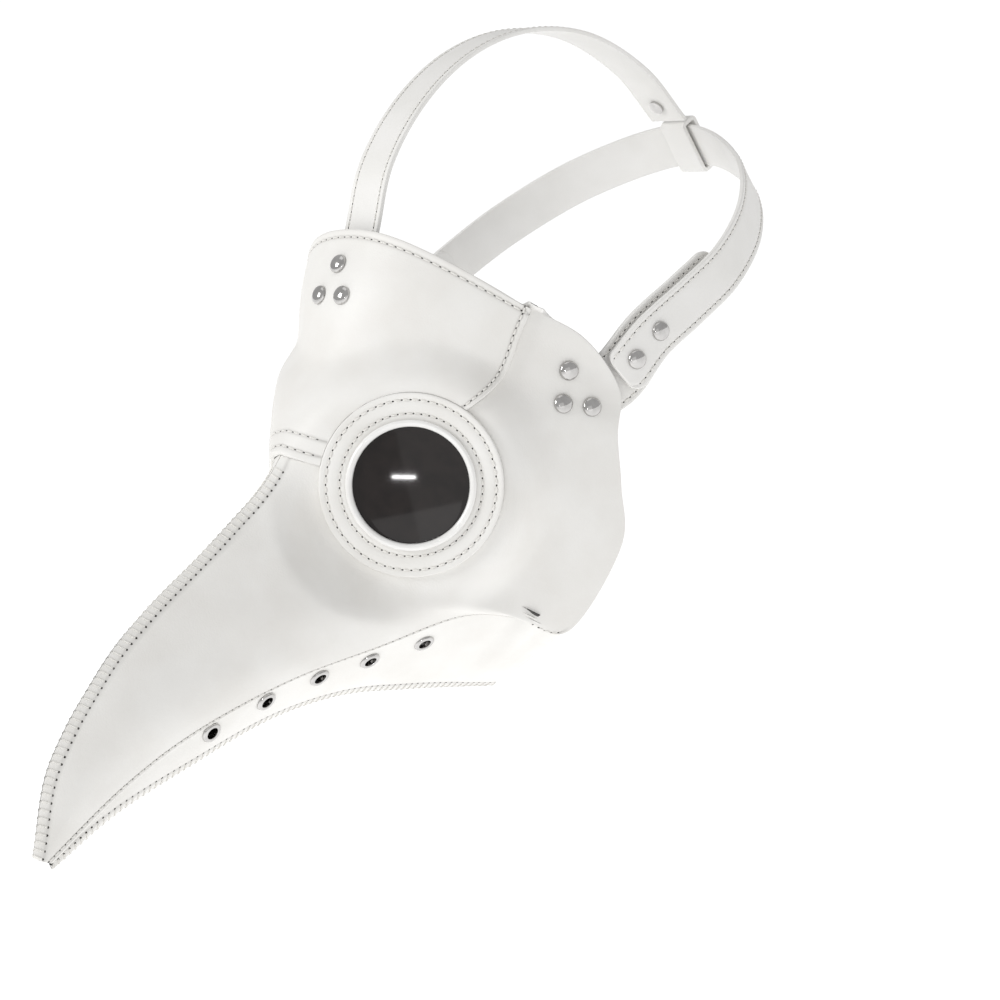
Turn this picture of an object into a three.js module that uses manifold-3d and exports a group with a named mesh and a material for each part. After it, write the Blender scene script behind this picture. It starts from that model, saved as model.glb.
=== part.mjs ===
// Plague doctor mask: a beaked leather half-helmet with its harness. Millimetres, +Z up, the beak points to -Y,
// +X is the wearer's left. The origin is the point midway between the wearer's pupils.
import * as THREE from "three";
import { mergeVertices } from "three/addons/utils/BufferGeometryUtils.js";
import Module from "manifold-3d";

const wasm = await Module();
wasm.setup();

const GAP = 0.3; // clearance between touching pieces
const ROUND = 24; // sides of the eye's round pieces
const SMALL_ROUND = 8; // sides of the metal hardware
const LEATHER = 2; // thickness of every leather panel and strap

// The mask's left half is a smooth sheet through these stations, listed from the top of the forehead to the beak tip.
// ridge: [y, z] on the centre plane. rim: [x, y, z] on the outer edge (temple, cheek, jaw, then the lower beak seam).
// bow: how far the middle of the section stands off the straight line between the two.
// keel: [y, z] of the seam under the beak, from the jaw on.
const STATIONS = [
  { ridge: [-7, 93], rim: [62, 18, 54], bow: [0, -10, 12] },
  { ridge: [-26, 72], rim: [73, 33, 37], bow: [0, -16, 9] },
  { ridge: [-44, 47], rim: [77, 42, 13], bow: [2, -17, 6] },
  { ridge: [-60, 29], rim: [78, 35, -4], bow: [1, -17, 8] },
  { ridge: [-80, 13.5], rim: [78, 31, -24], bow: [0, -16, 5] },
  { ridge: [-102, 4], rim: [75.5, 26, -48], bow: [0, -7, 2] },
  { ridge: [-122, -4], rim: [60, 3, -76], bow: [8, 10, 10], keel: [7, -106] },
  { ridge: [-138, -9.5], rim: [52, -15, -64], bow: [7, 3, 4], keel: [-15, -98] },
  { ridge: [-152, -15], rim: [43, -34, -57], bow: [6, -1, 2], keel: [-38, -90] },
  { ridge: [-168, -22.5], rim: [31, -66, -58], bow: [5, -3, 1], keel: [-70, -80] },
  { ridge: [-184, -33], rim: [21, -105, -58], bow: [5, -3, 1], keel: [-107, -76] },
  { ridge: [-198, -43.5], rim: [13, -147, -63], bow: [4.5, -2, 1], keel: [-150, -79] },
  { ridge: [-212, -58], rim: [7, -181, -72.5], bow: [3.5, -1, 1], keel: [-186, -83] },
  { ridge: [-225, -83], rim: [2.5, -219, -88], bow: [1, -1, 0], keel: [-218, -91] },
];
const TIP = STATIONS.length - 1; // station number of the beak tip
const JAW = 6; // station number of the jaw corner, where the lower beak seam starts
const BELLY = 1.2; // outward bow of the bottom panels

// Panel outlines, as [station, share of the way from ridge to rim]
const BROW_STATION = 3.5; // lower edge of the forehead panel on the ridge
const PANEL_CORNER = [4, 0.5]; // where the temple seam and the brow seam would meet, under the eye
const TEMPLE_CURVE = 1.4; // how early the temple seam turns down toward the eye
const TUCK_TEMPLE = [0.25, 0.93]; // hidden upper edge of the side panel, under the forehead panel
const TUCK_EYE = [2.7, 0.3];
const TUCK_BROW = 2.95;
const RIM_BY_EYE = 2.7; // rim stations, and a ridge station, that the corners of the side panel's grid are joined to
const RIM_BY_BROW = 3.6;
const RIDGE_BY_JAW = JAW - 0.6;
const SEAM_TUCK = 10; // width of bottom panel hidden behind the side panel
const TUCK_DEPTH = 1.1; // a tucked edge lies this much further from the panel that covers it
const TUCK_SLOPE = 0.06; // share of the mask's width over which the side panel sinks to that depth
const SHARE_PER_STATION = 0.3; // about how much share is as wide as one station is long
const CLEARANCE_HEIGHT = 2.5; // the side panel is cleared this far above the forehead panel's inner face

// Eye: everything round is stacked along the eye axis, measured from the side panel's outer face
const EYE_CENTRE = new THREE.Vector3(38, -40, 0);
const EYE_AZIMUTH = 46; // degrees that the eye looks outward
const EYE_ELEVATION = 10; // degrees that the eye looks up
const FLAT_RADIUS = 38; // the side panel is flat this far from the eye axis
const BLEND_RADIUS = 56; // and back on its own curve here
const RING_RADIUS = 36; // leather ring around the eye
const LENS_VIEW_RADIUS = 22.7; // lens left visible by the bezel
const LENS_SEAT = 0.7; // how far the bezel covers the lens
const LENS_RADIUS = LENS_VIEW_RADIUS + LENS_SEAT;
const LENS_THICKNESS = 2;
const LENS_DOME = 1.2;
const BARREL_WALL = 0.7;
const BEZEL_LIP = 1.1; // how far the bezel covers the leather ring
const BEZEL_HEIGHT = 2.4; // bezel above the leather ring
const BEZEL_SLOPE = 0.9; // drop from the crest of the bezel to its edges
const RING_CHAMFER = 0.4;
const CLAMP_LIP = 1.4; // how far the clamp reaches inside the visible lens
const CLAMP_WIDTH = 3.7; // flange of the clamp ring behind the side panel
const CLAMP_THICKNESS = 1.5;
const COPLANAR = 0.02; // keeps cutting tools off the faces that they would otherwise graze
const SLIVER = 0.02; // points closer than this, and triangles thinner, are removed after a cut
const FLIP_ROUNDS = 6;
const MERGE = 1e-4; // points of one body closer than this are the same point
const STEP = 0.01; // of station or share, for finding a surface's normal

// Drills run this far in front of and behind the surface that they start from, past all that they cut
const EYE_DRILL = 20;
const RING_DRILL = 30;
const SHANK_DRILL = [-16, 12];
const VENT_DRILL = 8;
const SNAP_DRILL = 12;

// Metal hardware
const RIVET_RADIUS = 3.9;
const RIVET_DOME = 2.1;
const SHANK_RADIUS = 1.5;
const BURR_RADIUS = 3.2; // the washer end of a rivet, behind the leather
const BURR_THICKNESS = 0.9;
const BURR_PLAY = 1; // the burr stands this far off a strap that lies at a slant behind its panel
const VENT_HOLE_RADIUS = 2.5;
const VENT_WALL = 0.5;
const VENT_FLANGE_RADIUS = 4.4;
const VENT_FLANGE = 0.8;
const VENT_CHAMFER = 0.5;
const VENT_BACK_INSET = 0.6; // the flange behind the leather is this much smaller
const SNAP_RADIUS = 3.9;
const SNAP_DOME = 2;
const STUD_RADIUS = 3.6;
const STUD_FLANGE = 0.4;
const STUD_POST_RADIUS = 1.5;
const SOCKET_CLEARANCE = 0.5; // between a stud's post and its socket
const SOCKET_RADIUS = 3.8;
const SOCKET_HEIGHT = 1;
const CAP_SHANK_RADIUS = 1;

// Harness. Paths follow the straps' centre lines, on the outer face of the tab and of the top strap.
const STRAP_WIDTH = 20;
const TAB_WIDTH = 24;
const TAB_ROOT = [
  [2.45, 0.78],
  [2.15, 0.9],
  [1.85, 1],
]; // where the tab runs behind the side panel, as [station, share]
const TAB_DEPTH = 3.4; // and how far behind its outer face
const SIDE_PATH = [
  [78.5, 62, 28.5],
  [80.5, 84, 36],
  [80, 106, 43],
  [70, 134, 54],
  [45, 161, 66],
  [0, 178, 74],
];
const TOP_ROOT = [1.5, 0.8, 0.1]; // stations where the top strap runs behind the forehead panel
const TOP_CURVE = 0.005; // the flat strap lies deeper behind the curved forehead panel the wider it is
const TOP_DEPTH = TOP_CURVE * STRAP_WIDTH ** 2;
const TOP_PATH = [
  [9, 115],
  [34, 134.5],
  [64, 146],
  [96, 147.5],
  [130, 137],
  [158, 114],
  [174, 88.5],
];
const HEAD_CENTRE = new THREE.Vector3(0, 88, 30);
const HEAD_HALF_SIZE = new THREE.Vector3(77, 97, 118);
const STRAP_FROM_RIM = 2.5; // the fastened strap starts this far behind the side panel's edge
const TAB_REACH = 70; // length of tab outside the side panel
const PEEL_FROM_TAB = 5; // the strap bends this far behind the tab's end
const SNAPS = [9, 24]; // distances of the two snaps from the front end of the strap
const LOOP_LENGTH = 14; // of the loop, along the back strap
const LOOP_PLAY = 1.6; // clearance of the loop in front of and behind the back strap
const TAIL_LENGTH = 24; // of the end of the top strap that moves with the loop
const TAIL_GAP = 6; // left for the top strap to flex
const LOOP_RIVET_FROM_END = 9;
const TAB_FRONT_ROUND = 5; // corner radii of the straps' ends
const TAB_END_ROUND = 8;
const STRAP_FRONT_ROUND = 9;
const PANEL_HOLD = 0.7; // share of the riveted part of the tab that lies flat against the side panel
const HEAD_REACH = 30; // past the panel's edge, the tab lies against the head from here on

// How finely the sheets are divided
const BEAK_ROWS = 12; // the side and bottom panels share these rows, from the jaw to the tip
const TEMPLE_ROWS = 6;
const EYE_ROWS = 2;
const NOSE_ROWS = 3;
const SIDE_ROWS = TEMPLE_ROWS + EYE_ROWS + NOSE_ROWS + BEAK_ROWS;
const SIDE_COLUMNS = 6;
const FOREHEAD_ROWS = 7;
const FOREHEAD_HALF_COLUMNS = 6;
const BOTTOM_COLUMNS = 5;
const TAB_STEPS = 12;
const STRAP_END_STEPS = 9;
const LONG_STRAP_STEPS = 24;
const TAIL_STEPS = 4;
const TEMPLE_RIVETS = [
  [1.72, 0.89],
  [2.38, 0.86],
  [2.42, 0.93],
]; // [station, share of the way to the rim]
const FOREHEAD_RIVETS = [
  [0.55, 0],
  [1.0, 0.09],
  [1.0, -0.09],
];
const VENTS = [
  [8.3, 0.3],
  [9.0, 0.3],
  [9.6, 0.3],
  [10.2, 0.3],
  [10.8, 0.3],
]; // [station, share of the way from the lower seam to the keel]

const leatherColour = 0xece9e2;
const material = (color, roughness, metalness) => new THREE.MeshStandardMaterial({ color, roughness, metalness });
const panelLeather = () => material(leatherColour, 0.55, 0);
const strapLeather = () => material(0xe6e3db, 0.6, 0);
const nickel = () => material(0xc9cacc, 0.18, 1);
const darkLens = () => material(0x0d0a09, 0.06, 0);
const enamel = () => material(0xe9e7e1, 0.3, 0);

const group = new THREE.Group();
group.name = "plague_doctor_mask";

function addMesh(name, geometry, meshMaterial, placement) {
  const mesh = new THREE.Mesh(geometry, meshMaterial);
  mesh.name = name;
  if (placement) placement.decompose(mesh.position, mesh.quaternion, mesh.scale);
  group.add(mesh);
  return mesh;
}

// ---- the mask's surface ----

function catmullRom(before, start, end, after, t) {
  const slopeStart = (end - before) / 2;
  const slopeEnd = (after - start) / 2;
  const a = 2 * start - 2 * end + slopeStart + slopeEnd;
  const b = 3 * end - 3 * start - 2 * slopeStart - slopeEnd;
  return ((a * t + b) * t + slopeStart) * t + start;
}

// One number of the stations ("rim", 0 is its x) at any fractional station, from the stations first..TIP
function along(key, axis, station, first = 0) {
  const whole = Math.min(TIP - 1, Math.max(first, Math.floor(station)));
  const value = (i) => STATIONS[i][key][axis];
  const start = value(whole);
  const end = value(whole + 1);
  const before = whole > first ? value(whole - 1) : 2 * start - end;
  const after = whole + 2 <= TIP ? value(whole + 2) : 2 * end - start;
  return catmullRom(before, start, end, after, station - whole);
}

const ridgePoint = (station) => new THREE.Vector3(0, along("ridge", 0, station), along("ridge", 1, station));
const vectorAlong = (key, station) => new THREE.Vector3(...[0, 1, 2].map((axis) => along(key, axis, station)));
const keelPoint = (station) => new THREE.Vector3(0, along("keel", 0, station, JAW), along("keel", 1, station, JAW));

const eyeAxis = new THREE.Vector3(0, -1, 0)
  .applyAxisAngle(new THREE.Vector3(1, 0, 0), -THREE.MathUtils.degToRad(EYE_ELEVATION))
  .applyAxisAngle(new THREE.Vector3(0, 0, 1), THREE.MathUtils.degToRad(EYE_AZIMUTH));

function maskPoint(station, share) {
  const point = ridgePoint(station).lerp(vectorAlong("rim", station), share);
  point.addScaledVector(vectorAlong("bow", station), 4 * share * (1 - share));
  const fromEye = point.clone().sub(EYE_CENTRE);
  const height = fromEye.dot(eyeAxis);
  const radius = Math.sqrt(Math.max(0, fromEye.lengthSq() - height * height));
  const flatness = 1 - THREE.MathUtils.smoothstep(radius, FLAT_RADIUS, BLEND_RADIUS);
  return point.addScaledVector(eyeAxis, -height * flatness);
}

// The bottom panel's outer face, from behind the side panel's lower edge (share 0) to the keel (share 1)
function bottomPoint(station, share) {
  const seam = maskOffset(station, 1, -LEATHER - TUCK_DEPTH);
  const point = seam.lerp(keelPoint(station), share);
  return point.add(new THREE.Vector3(0.5, 0, -1).multiplyScalar(BELLY * 4 * share * (1 - share)));
}

function surfaceNormal(surface, station, share, last = TIP, first = 0) {
  const s0 = Math.max(first, station - STEP);
  const s1 = Math.min(last, station + STEP);
  const t0 = Math.max(0, share - STEP);
  const t1 = Math.min(1, share + STEP);
  const alongStep = surface(s1, share).sub(surface(s0, share));
  const acrossStep = surface(station, t1).sub(surface(station, t0));
  return alongStep.cross(acrossStep).normalize();
}

// A point of a surface moved out along its normal. Points on the centre plane are mitred: they move inside that plane.
function offsetPoint(surface, station, share, distance, first = 0) {
  const point = surface(station, share);
  const normal = surfaceNormal(surface, station, share, TIP, first);
  if (Math.abs(point.x) > 1e-6) return point.addScaledVector(normal, distance);
  const inPlane = new THREE.Vector3(0, normal.y, normal.z);
  return point.addScaledVector(inPlane, distance / inPlane.lengthSq());
}

const maskOffset = (station, share, distance) => offsetPoint(maskPoint, station, share, distance);
const bottomOffset = (station, share, distance) => offsetPoint(bottomPoint, station, share, distance, JAW);

// ---- solid builders ----

// A closed slab over a grid of rows x columns cells; skin(i, j, k) is a point of its outer (k = 0) or inner (k = 1) skin.
// The cells of the first `flipped` columns are split along their other diagonal, so that a mirrored grid is symmetric.
function slab(rows, columns, skin, flipped = 0) {
  const positions = [];
  const triangles = [];
  const index = (i, j, k) => (k * (rows + 1) + i) * (columns + 1) + j;
  for (const k of [0, 1]) {
    for (let i = 0; i <= rows; i++) {
      for (let j = 0; j <= columns; j++) positions.push(...skin(i, j, k).toArray());
    }
  }
  const quad = (a, b, c, d) => triangles.push(a, b, c, a, c, d);
  for (let i = 0; i < rows; i++) {
    for (let j = 0; j < columns; j++) {
      const outer = [index(i, j, 0), index(i + 1, j, 0), index(i + 1, j + 1, 0), index(i, j + 1, 0)];
      const inner = [index(i, j, 1), index(i, j + 1, 1), index(i + 1, j + 1, 1), index(i + 1, j, 1)];
      if (j < flipped) {
        outer.push(outer.shift());
        inner.push(inner.shift());
      }
      quad(...outer);
      quad(...inner);
    }
    quad(index(i, 0, 0), index(i, 0, 1), index(i + 1, 0, 1), index(i + 1, 0, 0));
    quad(index(i, columns, 0), index(i + 1, columns, 0), index(i + 1, columns, 1), index(i, columns, 1));
  }
  for (let j = 0; j < columns; j++) {
    quad(index(0, j, 0), index(0, j + 1, 0), index(0, j + 1, 1), index(0, j, 1));
    quad(index(rows, j, 0), index(rows, j, 1), index(rows, j + 1, 1), index(rows, j + 1, 0));
  }
  return indexedGeometry(positions, triangles);
}

function indexedGeometry(positions, triangles) {
  const geometry = new THREE.BufferGeometry();
  geometry.setAttribute("position", new THREE.Float32BufferAttribute(positions, 3));
  geometry.setIndex(triangles);
  return geometry;
}

function mirrored(geometry) {
  const copy = geometry.clone();
  const position = copy.getAttribute("position");
  for (let i = 0; i < position.count; i++) position.setX(i, -position.getX(i));
  const index = copy.getIndex().array;
  for (let i = 0; i < index.length; i += 3) [index[i + 1], index[i + 2]] = [index[i + 2], index[i + 1]];
  return copy;
}

const mirrorPlacement = (placement) => {
  const mirror = new THREE.Matrix4().makeScale(-1, 1, 1);
  return mirror.clone().multiply(placement).multiply(mirror);
};

function toManifold(geometry) {
  const bare = geometry.clone();
  bare.deleteAttribute("normal");
  bare.deleteAttribute("uv");
  const merged = mergeVertices(bare, MERGE);
  const vertProperties = new Float32Array(merged.getAttribute("position").array);
  const triVerts = new Uint32Array(merged.getIndex().array);
  return new wasm.Manifold(new wasm.Mesh({ numProp: 3, vertProperties, triVerts }));
}

// Cuts the tools out of a body and keeps its largest piece, without the slivers that trimming leaves
function cut(geometry, tools) {
  let body = toManifold(geometry);
  for (const tool of tools) body = body.subtract(toManifold(tool));
  const [largest] = body.decompose().sort((a, b) => b.volume() - a.volume());
  const mesh = largest.getMesh();
  const { points, faces } = welded(mesh.vertProperties, mesh.triVerts);
  flipThinFaces(points, faces);
  return indexedGeometry(points.flatMap((point) => point.toArray()), faces.flat());
}

// The points of a mesh, with those closer together than SLIVER made one, and the faces that are left
function welded(positions, triangles) {
  const points = [];
  const place = [];
  for (let i = 0; i < positions.length; i += 3) {
    const point = new THREE.Vector3().fromArray(positions, i);
    const near = points.findIndex((other) => other.distanceTo(point) < SLIVER);
    place.push(near < 0 ? points.push(point) - 1 : near);
  }
  const faces = [];
  for (let i = 0; i < triangles.length; i += 3) {
    const [a, b, c] = [place[triangles[i]], place[triangles[i + 1]], place[triangles[i + 2]]];
    if (a !== b && b !== c && c !== a) faces.push([a, b, c]);
  }
  return { points, faces };
}

// Turns the long edge that a face thinner than SLIVER shares with its neighbour, so that neither of the two is thin
function flipThinFaces(points, faces) {
  for (let round = 0; round < FLIP_ROUNDS; round++) {
    const owner = new Map();
    faces.forEach((face, n) => face.forEach((a, k) => owner.set(`${a},${face[(k + 1) % 3]}`, n)));
    const changed = new Set();
    faces.forEach((face, n) => {
      const lengths = face.map((a, k) => points[a].distanceTo(points[face[(k + 1) % 3]]));
      const longest = lengths.indexOf(Math.max(...lengths));
      const [a, b, c] = [0, 1, 2].map((k) => face[(longest + k) % 3]);
      const area = new THREE.Triangle(points[a], points[b], points[c]).getArea();
      const neighbour = owner.get(`${b},${a}`);
      if ((2 * area) / lengths[longest] > SLIVER || changed.has(n) || changed.has(neighbour)) return;
      const d = faces[neighbour].find((corner) => corner !== a && corner !== b);
      if (owner.has(`${c},${d}`) || owner.has(`${d},${c}`)) return;
      faces[n] = [a, d, c];
      faces[neighbour] = [d, b, c];
      changed.add(n).add(neighbour);
    });
    if (changed.size === 0) return;
  }
}

// A body turned around the local Z axis from a closed profile of [radius, height] points, listed anticlockwise
function turned(profile, segments) {
  const loop = [...profile];
  if (profile[0][0] > 0) loop.push(profile[0]);
  return new THREE.LatheGeometry(
    loop.map(([radius, height]) => new THREE.Vector2(radius, height)),
    segments,
  ).rotateX(Math.PI / 2);
}

// The same, as a tool for cutting, placed in the part
function drill(radius, from, to, placement, segments) {
  const profile = [
    [0, from],
    [radius, from],
    [radius, to],
    [0, to],
  ];
  return turned(profile, segments).applyMatrix4(placement);
}

// Local frame with Z along the normal and X as near as possible to the given direction
function frameAt(point, normal, toward) {
  const z = normal.clone().normalize();
  const y = z.clone().cross(toward).normalize();
  const x = y.clone().cross(z);
  return new THREE.Matrix4().makeBasis(x, y, z).setPosition(point);
}

const raised = (placement, height) => placement.clone().multiply(new THREE.Matrix4().makeTranslation(0, 0, height));

// ---- harness curves ----

const toVector = (coordinates) => new THREE.Vector3(...coordinates);
const tabRoot = TAB_ROOT.map(([station, share]) => maskOffset(station, share, -TAB_DEPTH));
const leftPath = [...tabRoot, ...SIDE_PATH.map(toVector)];
const rightPath = leftPath.slice(0, -1).reverse().map((point) => new THREE.Vector3(-point.x, point.y, point.z));
const sideCurve = new THREE.CatmullRomCurve3([...leftPath, ...rightPath]);
const topRoot = TOP_ROOT.map((station) => maskOffset(station, 0, -TOP_DEPTH));
const topCurve = new THREE.CatmullRomCurve3([...topRoot, ...TOP_PATH.map(([y, z]) => new THREE.Vector3(0, y, z))]);
sideCurve.arcLengthDivisions = 1600;
topCurve.arcLengthDivisions = 800;
const sideLength = sideCurve.getLength();
const topLength = topCurve.getLength();

const rimDistance = tabRoot[0].distanceTo(tabRoot[1]) + tabRoot[1].distanceTo(tabRoot[2]);
const strapFront = rimDistance + STRAP_FROM_RIM;
const tabEnd = rimDistance + TAB_REACH;
const peelAt = tabEnd + PEEL_FROM_TAB;

function headNormal(point) {
  return point.clone().sub(HEAD_CENTRE).divide(HEAD_HALF_SIZE).divide(HEAD_HALF_SIZE).normalize();
}

// Frame of a harness curve at a distance along it: X runs along the strap, Y across it, Z away from the head.
// Near the side panel the tab lies flat against the panel instead of the head.
function strapFrame(curve, length, distance) {
  const at = distance / length;
  const point = curve.getPointAt(at);
  const normal = headNormal(point);
  if (curve === sideCurve) {
    const panelNormal = surfaceNormal(maskPoint, TAB_ROOT[1][0], TAB_ROOT[1][1]);
    const fromEnd = Math.min(distance, length - distance);
    if (distance > length / 2) panelNormal.x = -panelNormal.x;
    const lifted = THREE.MathUtils.smoothstep(fromEnd, rimDistance * PANEL_HOLD, rimDistance + HEAD_REACH);
    normal.lerp(panelNormal, 1 - lifted).normalize();
  }
  return frameAt(point, normal, curve.getTangentAt(at));
}

const sideFrame = (distance) => strapFrame(sideCurve, sideLength, distance);
const topFrame = (distance) => strapFrame(topCurve, topLength, distance);

// A flat strap along a harness curve, with its outer face at the given lift. Rounded ends are drawn by narrowing.
function strap(frame, from, to, width, lift, steps, roundStart = 0, roundEnd = 0) {
  const stops = Array.from({ length: steps + 1 }, (_, i) => from + ((to - from) * i) / steps);
  const addRound = (end, size, sign) =>
    [0, 0.12, 0.4].filter(() => size > 0).map((share) => end + sign * share * size);
  const all = [...stops, ...addRound(from, roundStart, 1), ...addRound(to, roundEnd, -1)];
  const distances = [...new Set(all)].sort((a, b) => a - b);
  const halfWidth = (distance) => {
    const inset = (edge, size) => (size > 0 && edge < size ? size - Math.sqrt(size * size - (size - edge) ** 2) : 0);
    return width / 2 - inset(distance - from, roundStart) - inset(to - distance, roundEnd);
  };
  return slab(distances.length - 1, 2, (i, j, k) => {
    const distance = distances[i];
    const half = halfWidth(distance);
    return new THREE.Vector3(0, (j - 1) * half, lift - k * LEATHER).applyMatrix4(frame(distance));
  });
}

// ---- hardware ----

const dome = (radius, height, base, segments = 3) =>
  Array.from({ length: segments + 1 }, (_, i) => {
    const angle = (i / segments) * (Math.PI / 2);
    return [i < segments ? radius * Math.cos(angle) : 0, base + height * Math.sin(angle)];
  });

// A rivet through a stack of leather: dome in front of height 0, shank through `depth` of leather, burr behind it
function rivetGeometry(depth) {
  const burrTop = -depth - GAP;
  const profile = [
    [0, burrTop - BURR_THICKNESS],
    [BURR_RADIUS, burrTop - BURR_THICKNESS],
    [BURR_RADIUS, burrTop],
    [SHANK_RADIUS, burrTop],
    [SHANK_RADIUS, GAP],
    ...dome(RIVET_RADIUS, RIVET_DOME, GAP),
  ];
  return turned(profile, SMALL_ROUND);
}

function ventGeometry() {
  const inner = VENT_HOLE_RADIUS;
  const outer = VENT_HOLE_RADIUS + VENT_WALL;
  const back = -LEATHER - GAP;
  return turned(
    [
      [inner, back - VENT_FLANGE],
      [VENT_FLANGE_RADIUS - VENT_BACK_INSET, back - VENT_FLANGE],
      [VENT_FLANGE_RADIUS - VENT_BACK_INSET, back],
      [outer, back],
      [outer, GAP],
      [VENT_FLANGE_RADIUS, GAP],
      [VENT_FLANGE_RADIUS - VENT_CHAMFER, GAP + VENT_FLANGE],
      [inner, GAP + VENT_FLANGE],
    ],
    SMALL_ROUND,
  );
}

// ---- panels ----

const eyePlacement = frameAt(EYE_CENTRE, eyeAxis, new THREE.Vector3(1, 1, 0));
const barrelRadius = LENS_RADIUS + GAP + BARREL_WALL;
const eyeHoleRadius = barrelRadius + GAP;
const clampRadius = eyeHoleRadius + CLAMP_WIDTH;

const clampTop = -LEATHER - GAP;
const clampFloor = clampTop - CLAMP_THICKNESS;
const sidePanelEyeCuts = [
  drill(eyeHoleRadius, -EYE_DRILL, EYE_DRILL, eyePlacement, ROUND),
  drill(clampRadius + GAP, clampFloor - GAP, -LEATHER - COPLANAR, eyePlacement, ROUND),
  drill(RING_RADIUS + GAP, COPLANAR, EYE_DRILL, eyePlacement, ROUND),
];

const lerp = THREE.MathUtils.lerp;

// Upper edge of the side panel as [station, share], in four stretches, and the rim station it is joined to
function sidePanelSpot(row) {
  const stretches = [
    { rows: TEMPLE_ROWS, from: TUCK_TEMPLE, to: TUCK_EYE, rim: [0, RIM_BY_EYE] },
    { rows: EYE_ROWS, from: TUCK_EYE, to: [TUCK_BROW, 0], rim: [RIM_BY_EYE, RIM_BY_BROW] },
    { rows: NOSE_ROWS, from: [TUCK_BROW, 0], to: [RIDGE_BY_JAW, 0], rim: [RIM_BY_BROW, JAW] },
    { rows: BEAK_ROWS, from: [RIDGE_BY_JAW, 0], to: [TIP, 0], rim: [JAW, TIP] },
  ];
  let left = row;
  for (const stretch of stretches) {
    if (left <= stretch.rows) {
      const t = left / stretch.rows;
      return {
        top: [lerp(stretch.from[0], stretch.to[0], t), lerp(stretch.from[1], stretch.to[1], t)],
        rim: lerp(stretch.rim[0], stretch.rim[1], t),
      };
    }
    left -= stretch.rows;
  }
  throw new Error("row past the beak tip");
}

// Share of the way to the rim where the forehead panel ends, at a station
const templeSeam = (station) => lerp(PANEL_CORNER[1], 1, Math.max(0, 1 - station / PANEL_CORNER[0]) ** TEMPLE_CURVE);

// How far the side panel's outer face lies below the mask's surface: it sinks where the forehead panel covers it.
function tuckDepth(station, share) {
  const insideTemple = templeSeam(station) - share;
  const insideBrow = (BROW_STATION + share - station) * SHARE_PER_STATION;
  const inside = Math.min(insideTemple, insideBrow);
  return TUCK_DEPTH * THREE.MathUtils.smoothstep(inside, 0, TUCK_SLOPE);
}

function clearOfCentre(point) {
  point.x = Math.max(point.x, GAP / 2);
  return point;
}

// The side panel's sheet between two heights above its outer face
function sideSlab(top, bottom) {
  return slab(SIDE_ROWS, SIDE_COLUMNS, (i, j, k) => {
    const spot = sidePanelSpot(i);
    const t = j / SIDE_COLUMNS;
    const station = lerp(spot.top[0], spot.rim, t);
    const share = lerp(spot.top[1], 1, t);
    const height = (k === 0 ? top : bottom) - tuckDepth(station, share);
    return clearOfCentre(maskOffset(station, share, height));
  });
}

// The forehead panel's sheet, right across the centre, between two heights above the side panel's outer face
function foreheadSlab(top, bottom) {
  const skin = (i, j, k) => {
    const across = j / FOREHEAD_HALF_COLUMNS - 1;
    const share = Math.abs(across);
    const down = i / FOREHEAD_ROWS;
    const station = down * lerp(BROW_STATION, PANEL_CORNER[0], share);
    const seam = templeSeam(down * PANEL_CORNER[0]);
    const point = maskOffset(station, share * seam, k === 0 ? top : bottom);
    if (across < 0) point.x = -point.x;
    return point;
  };
  return slab(FOREHEAD_ROWS, 2 * FOREHEAD_HALF_COLUMNS, skin, FOREHEAD_HALF_COLUMNS);
}

function sidePanel(holes) {
  const underForehead = foreheadSlab(CLEARANCE_HEIGHT, 0);
  return cut(sideSlab(0, -LEATHER), [underForehead, ...sidePanelEyeCuts, ...holes]);
}

function foreheadPanel(holes) {
  const eyeCut = drill(RING_RADIUS + GAP, -RING_DRILL, RING_DRILL, eyePlacement, ROUND);
  return cut(foreheadSlab(GAP + LEATHER, GAP), [eyeCut, mirrored(eyeCut), ...holes]);
}

// The bottom panel has a flange behind the side panel, then runs down to the keel.
function bottomPanel(holes) {
  const skin = (i, j, k) => {
    const station = lerp(JAW, TIP, i / BEAK_ROWS);
    const depth = -LEATHER - TUCK_DEPTH - k * LEATHER;
    const chord = ridgePoint(station).distanceTo(vectorAlong("rim", station));
    const tuck = Math.min(SEAM_TUCK / chord, 0.5) * Math.max(0, 1 - j);
    const flangePoint = maskOffset(station, 1 - tuck, depth);
    if (j === 0) return clearOfCentre(flangePoint);
    const point = bottomOffset(station, (j - 1) / (BOTTOM_COLUMNS - 1), -k * LEATHER);
    if (j === 1) point.lerp(flangePoint, 0.5);
    return clearOfCentre(point);
  };
  return cut(slab(BEAK_ROWS, BOTTOM_COLUMNS, skin), holes);
}

const ventPlacements = VENTS.map(([station, share]) =>
  frameAt(
    bottomPoint(station, share),
    surfaceNormal(bottomPoint, station, share, TIP, JAW),
    new THREE.Vector3(0, -1, 0),
  ),
);

function maskPlacement([station, share]) {
  const across = Math.abs(share);
  const normal = surfaceNormal(maskPoint, station, across);
  if (share === 0) normal.setX(0);
  const placement = frameAt(maskPoint(station, across), normal, new THREE.Vector3(1, 0, 0));
  return share < 0 ? mirrorPlacement(placement) : placement;
}

const foreheadRivetPlacements = FOREHEAD_RIVETS.map(maskPlacement);
const templeRivetPlacements = TEMPLE_RIVETS.map(maskPlacement);
const shankHole = (placement) => drill(SHANK_RADIUS + GAP, ...SHANK_DRILL, placement, SMALL_ROUND);
const ventHoles = ventPlacements.flatMap((placement) => [
  drill(VENT_HOLE_RADIUS + VENT_WALL + GAP, -VENT_DRILL, VENT_DRILL, placement, SMALL_ROUND),
  drill(VENT_FLANGE_RADIUS + GAP, GAP / 2, VENT_DRILL, placement, SMALL_ROUND),
  drill(VENT_FLANGE_RADIUS, -VENT_DRILL, -LEATHER - GAP / 2, placement, SMALL_ROUND),
]);

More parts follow.
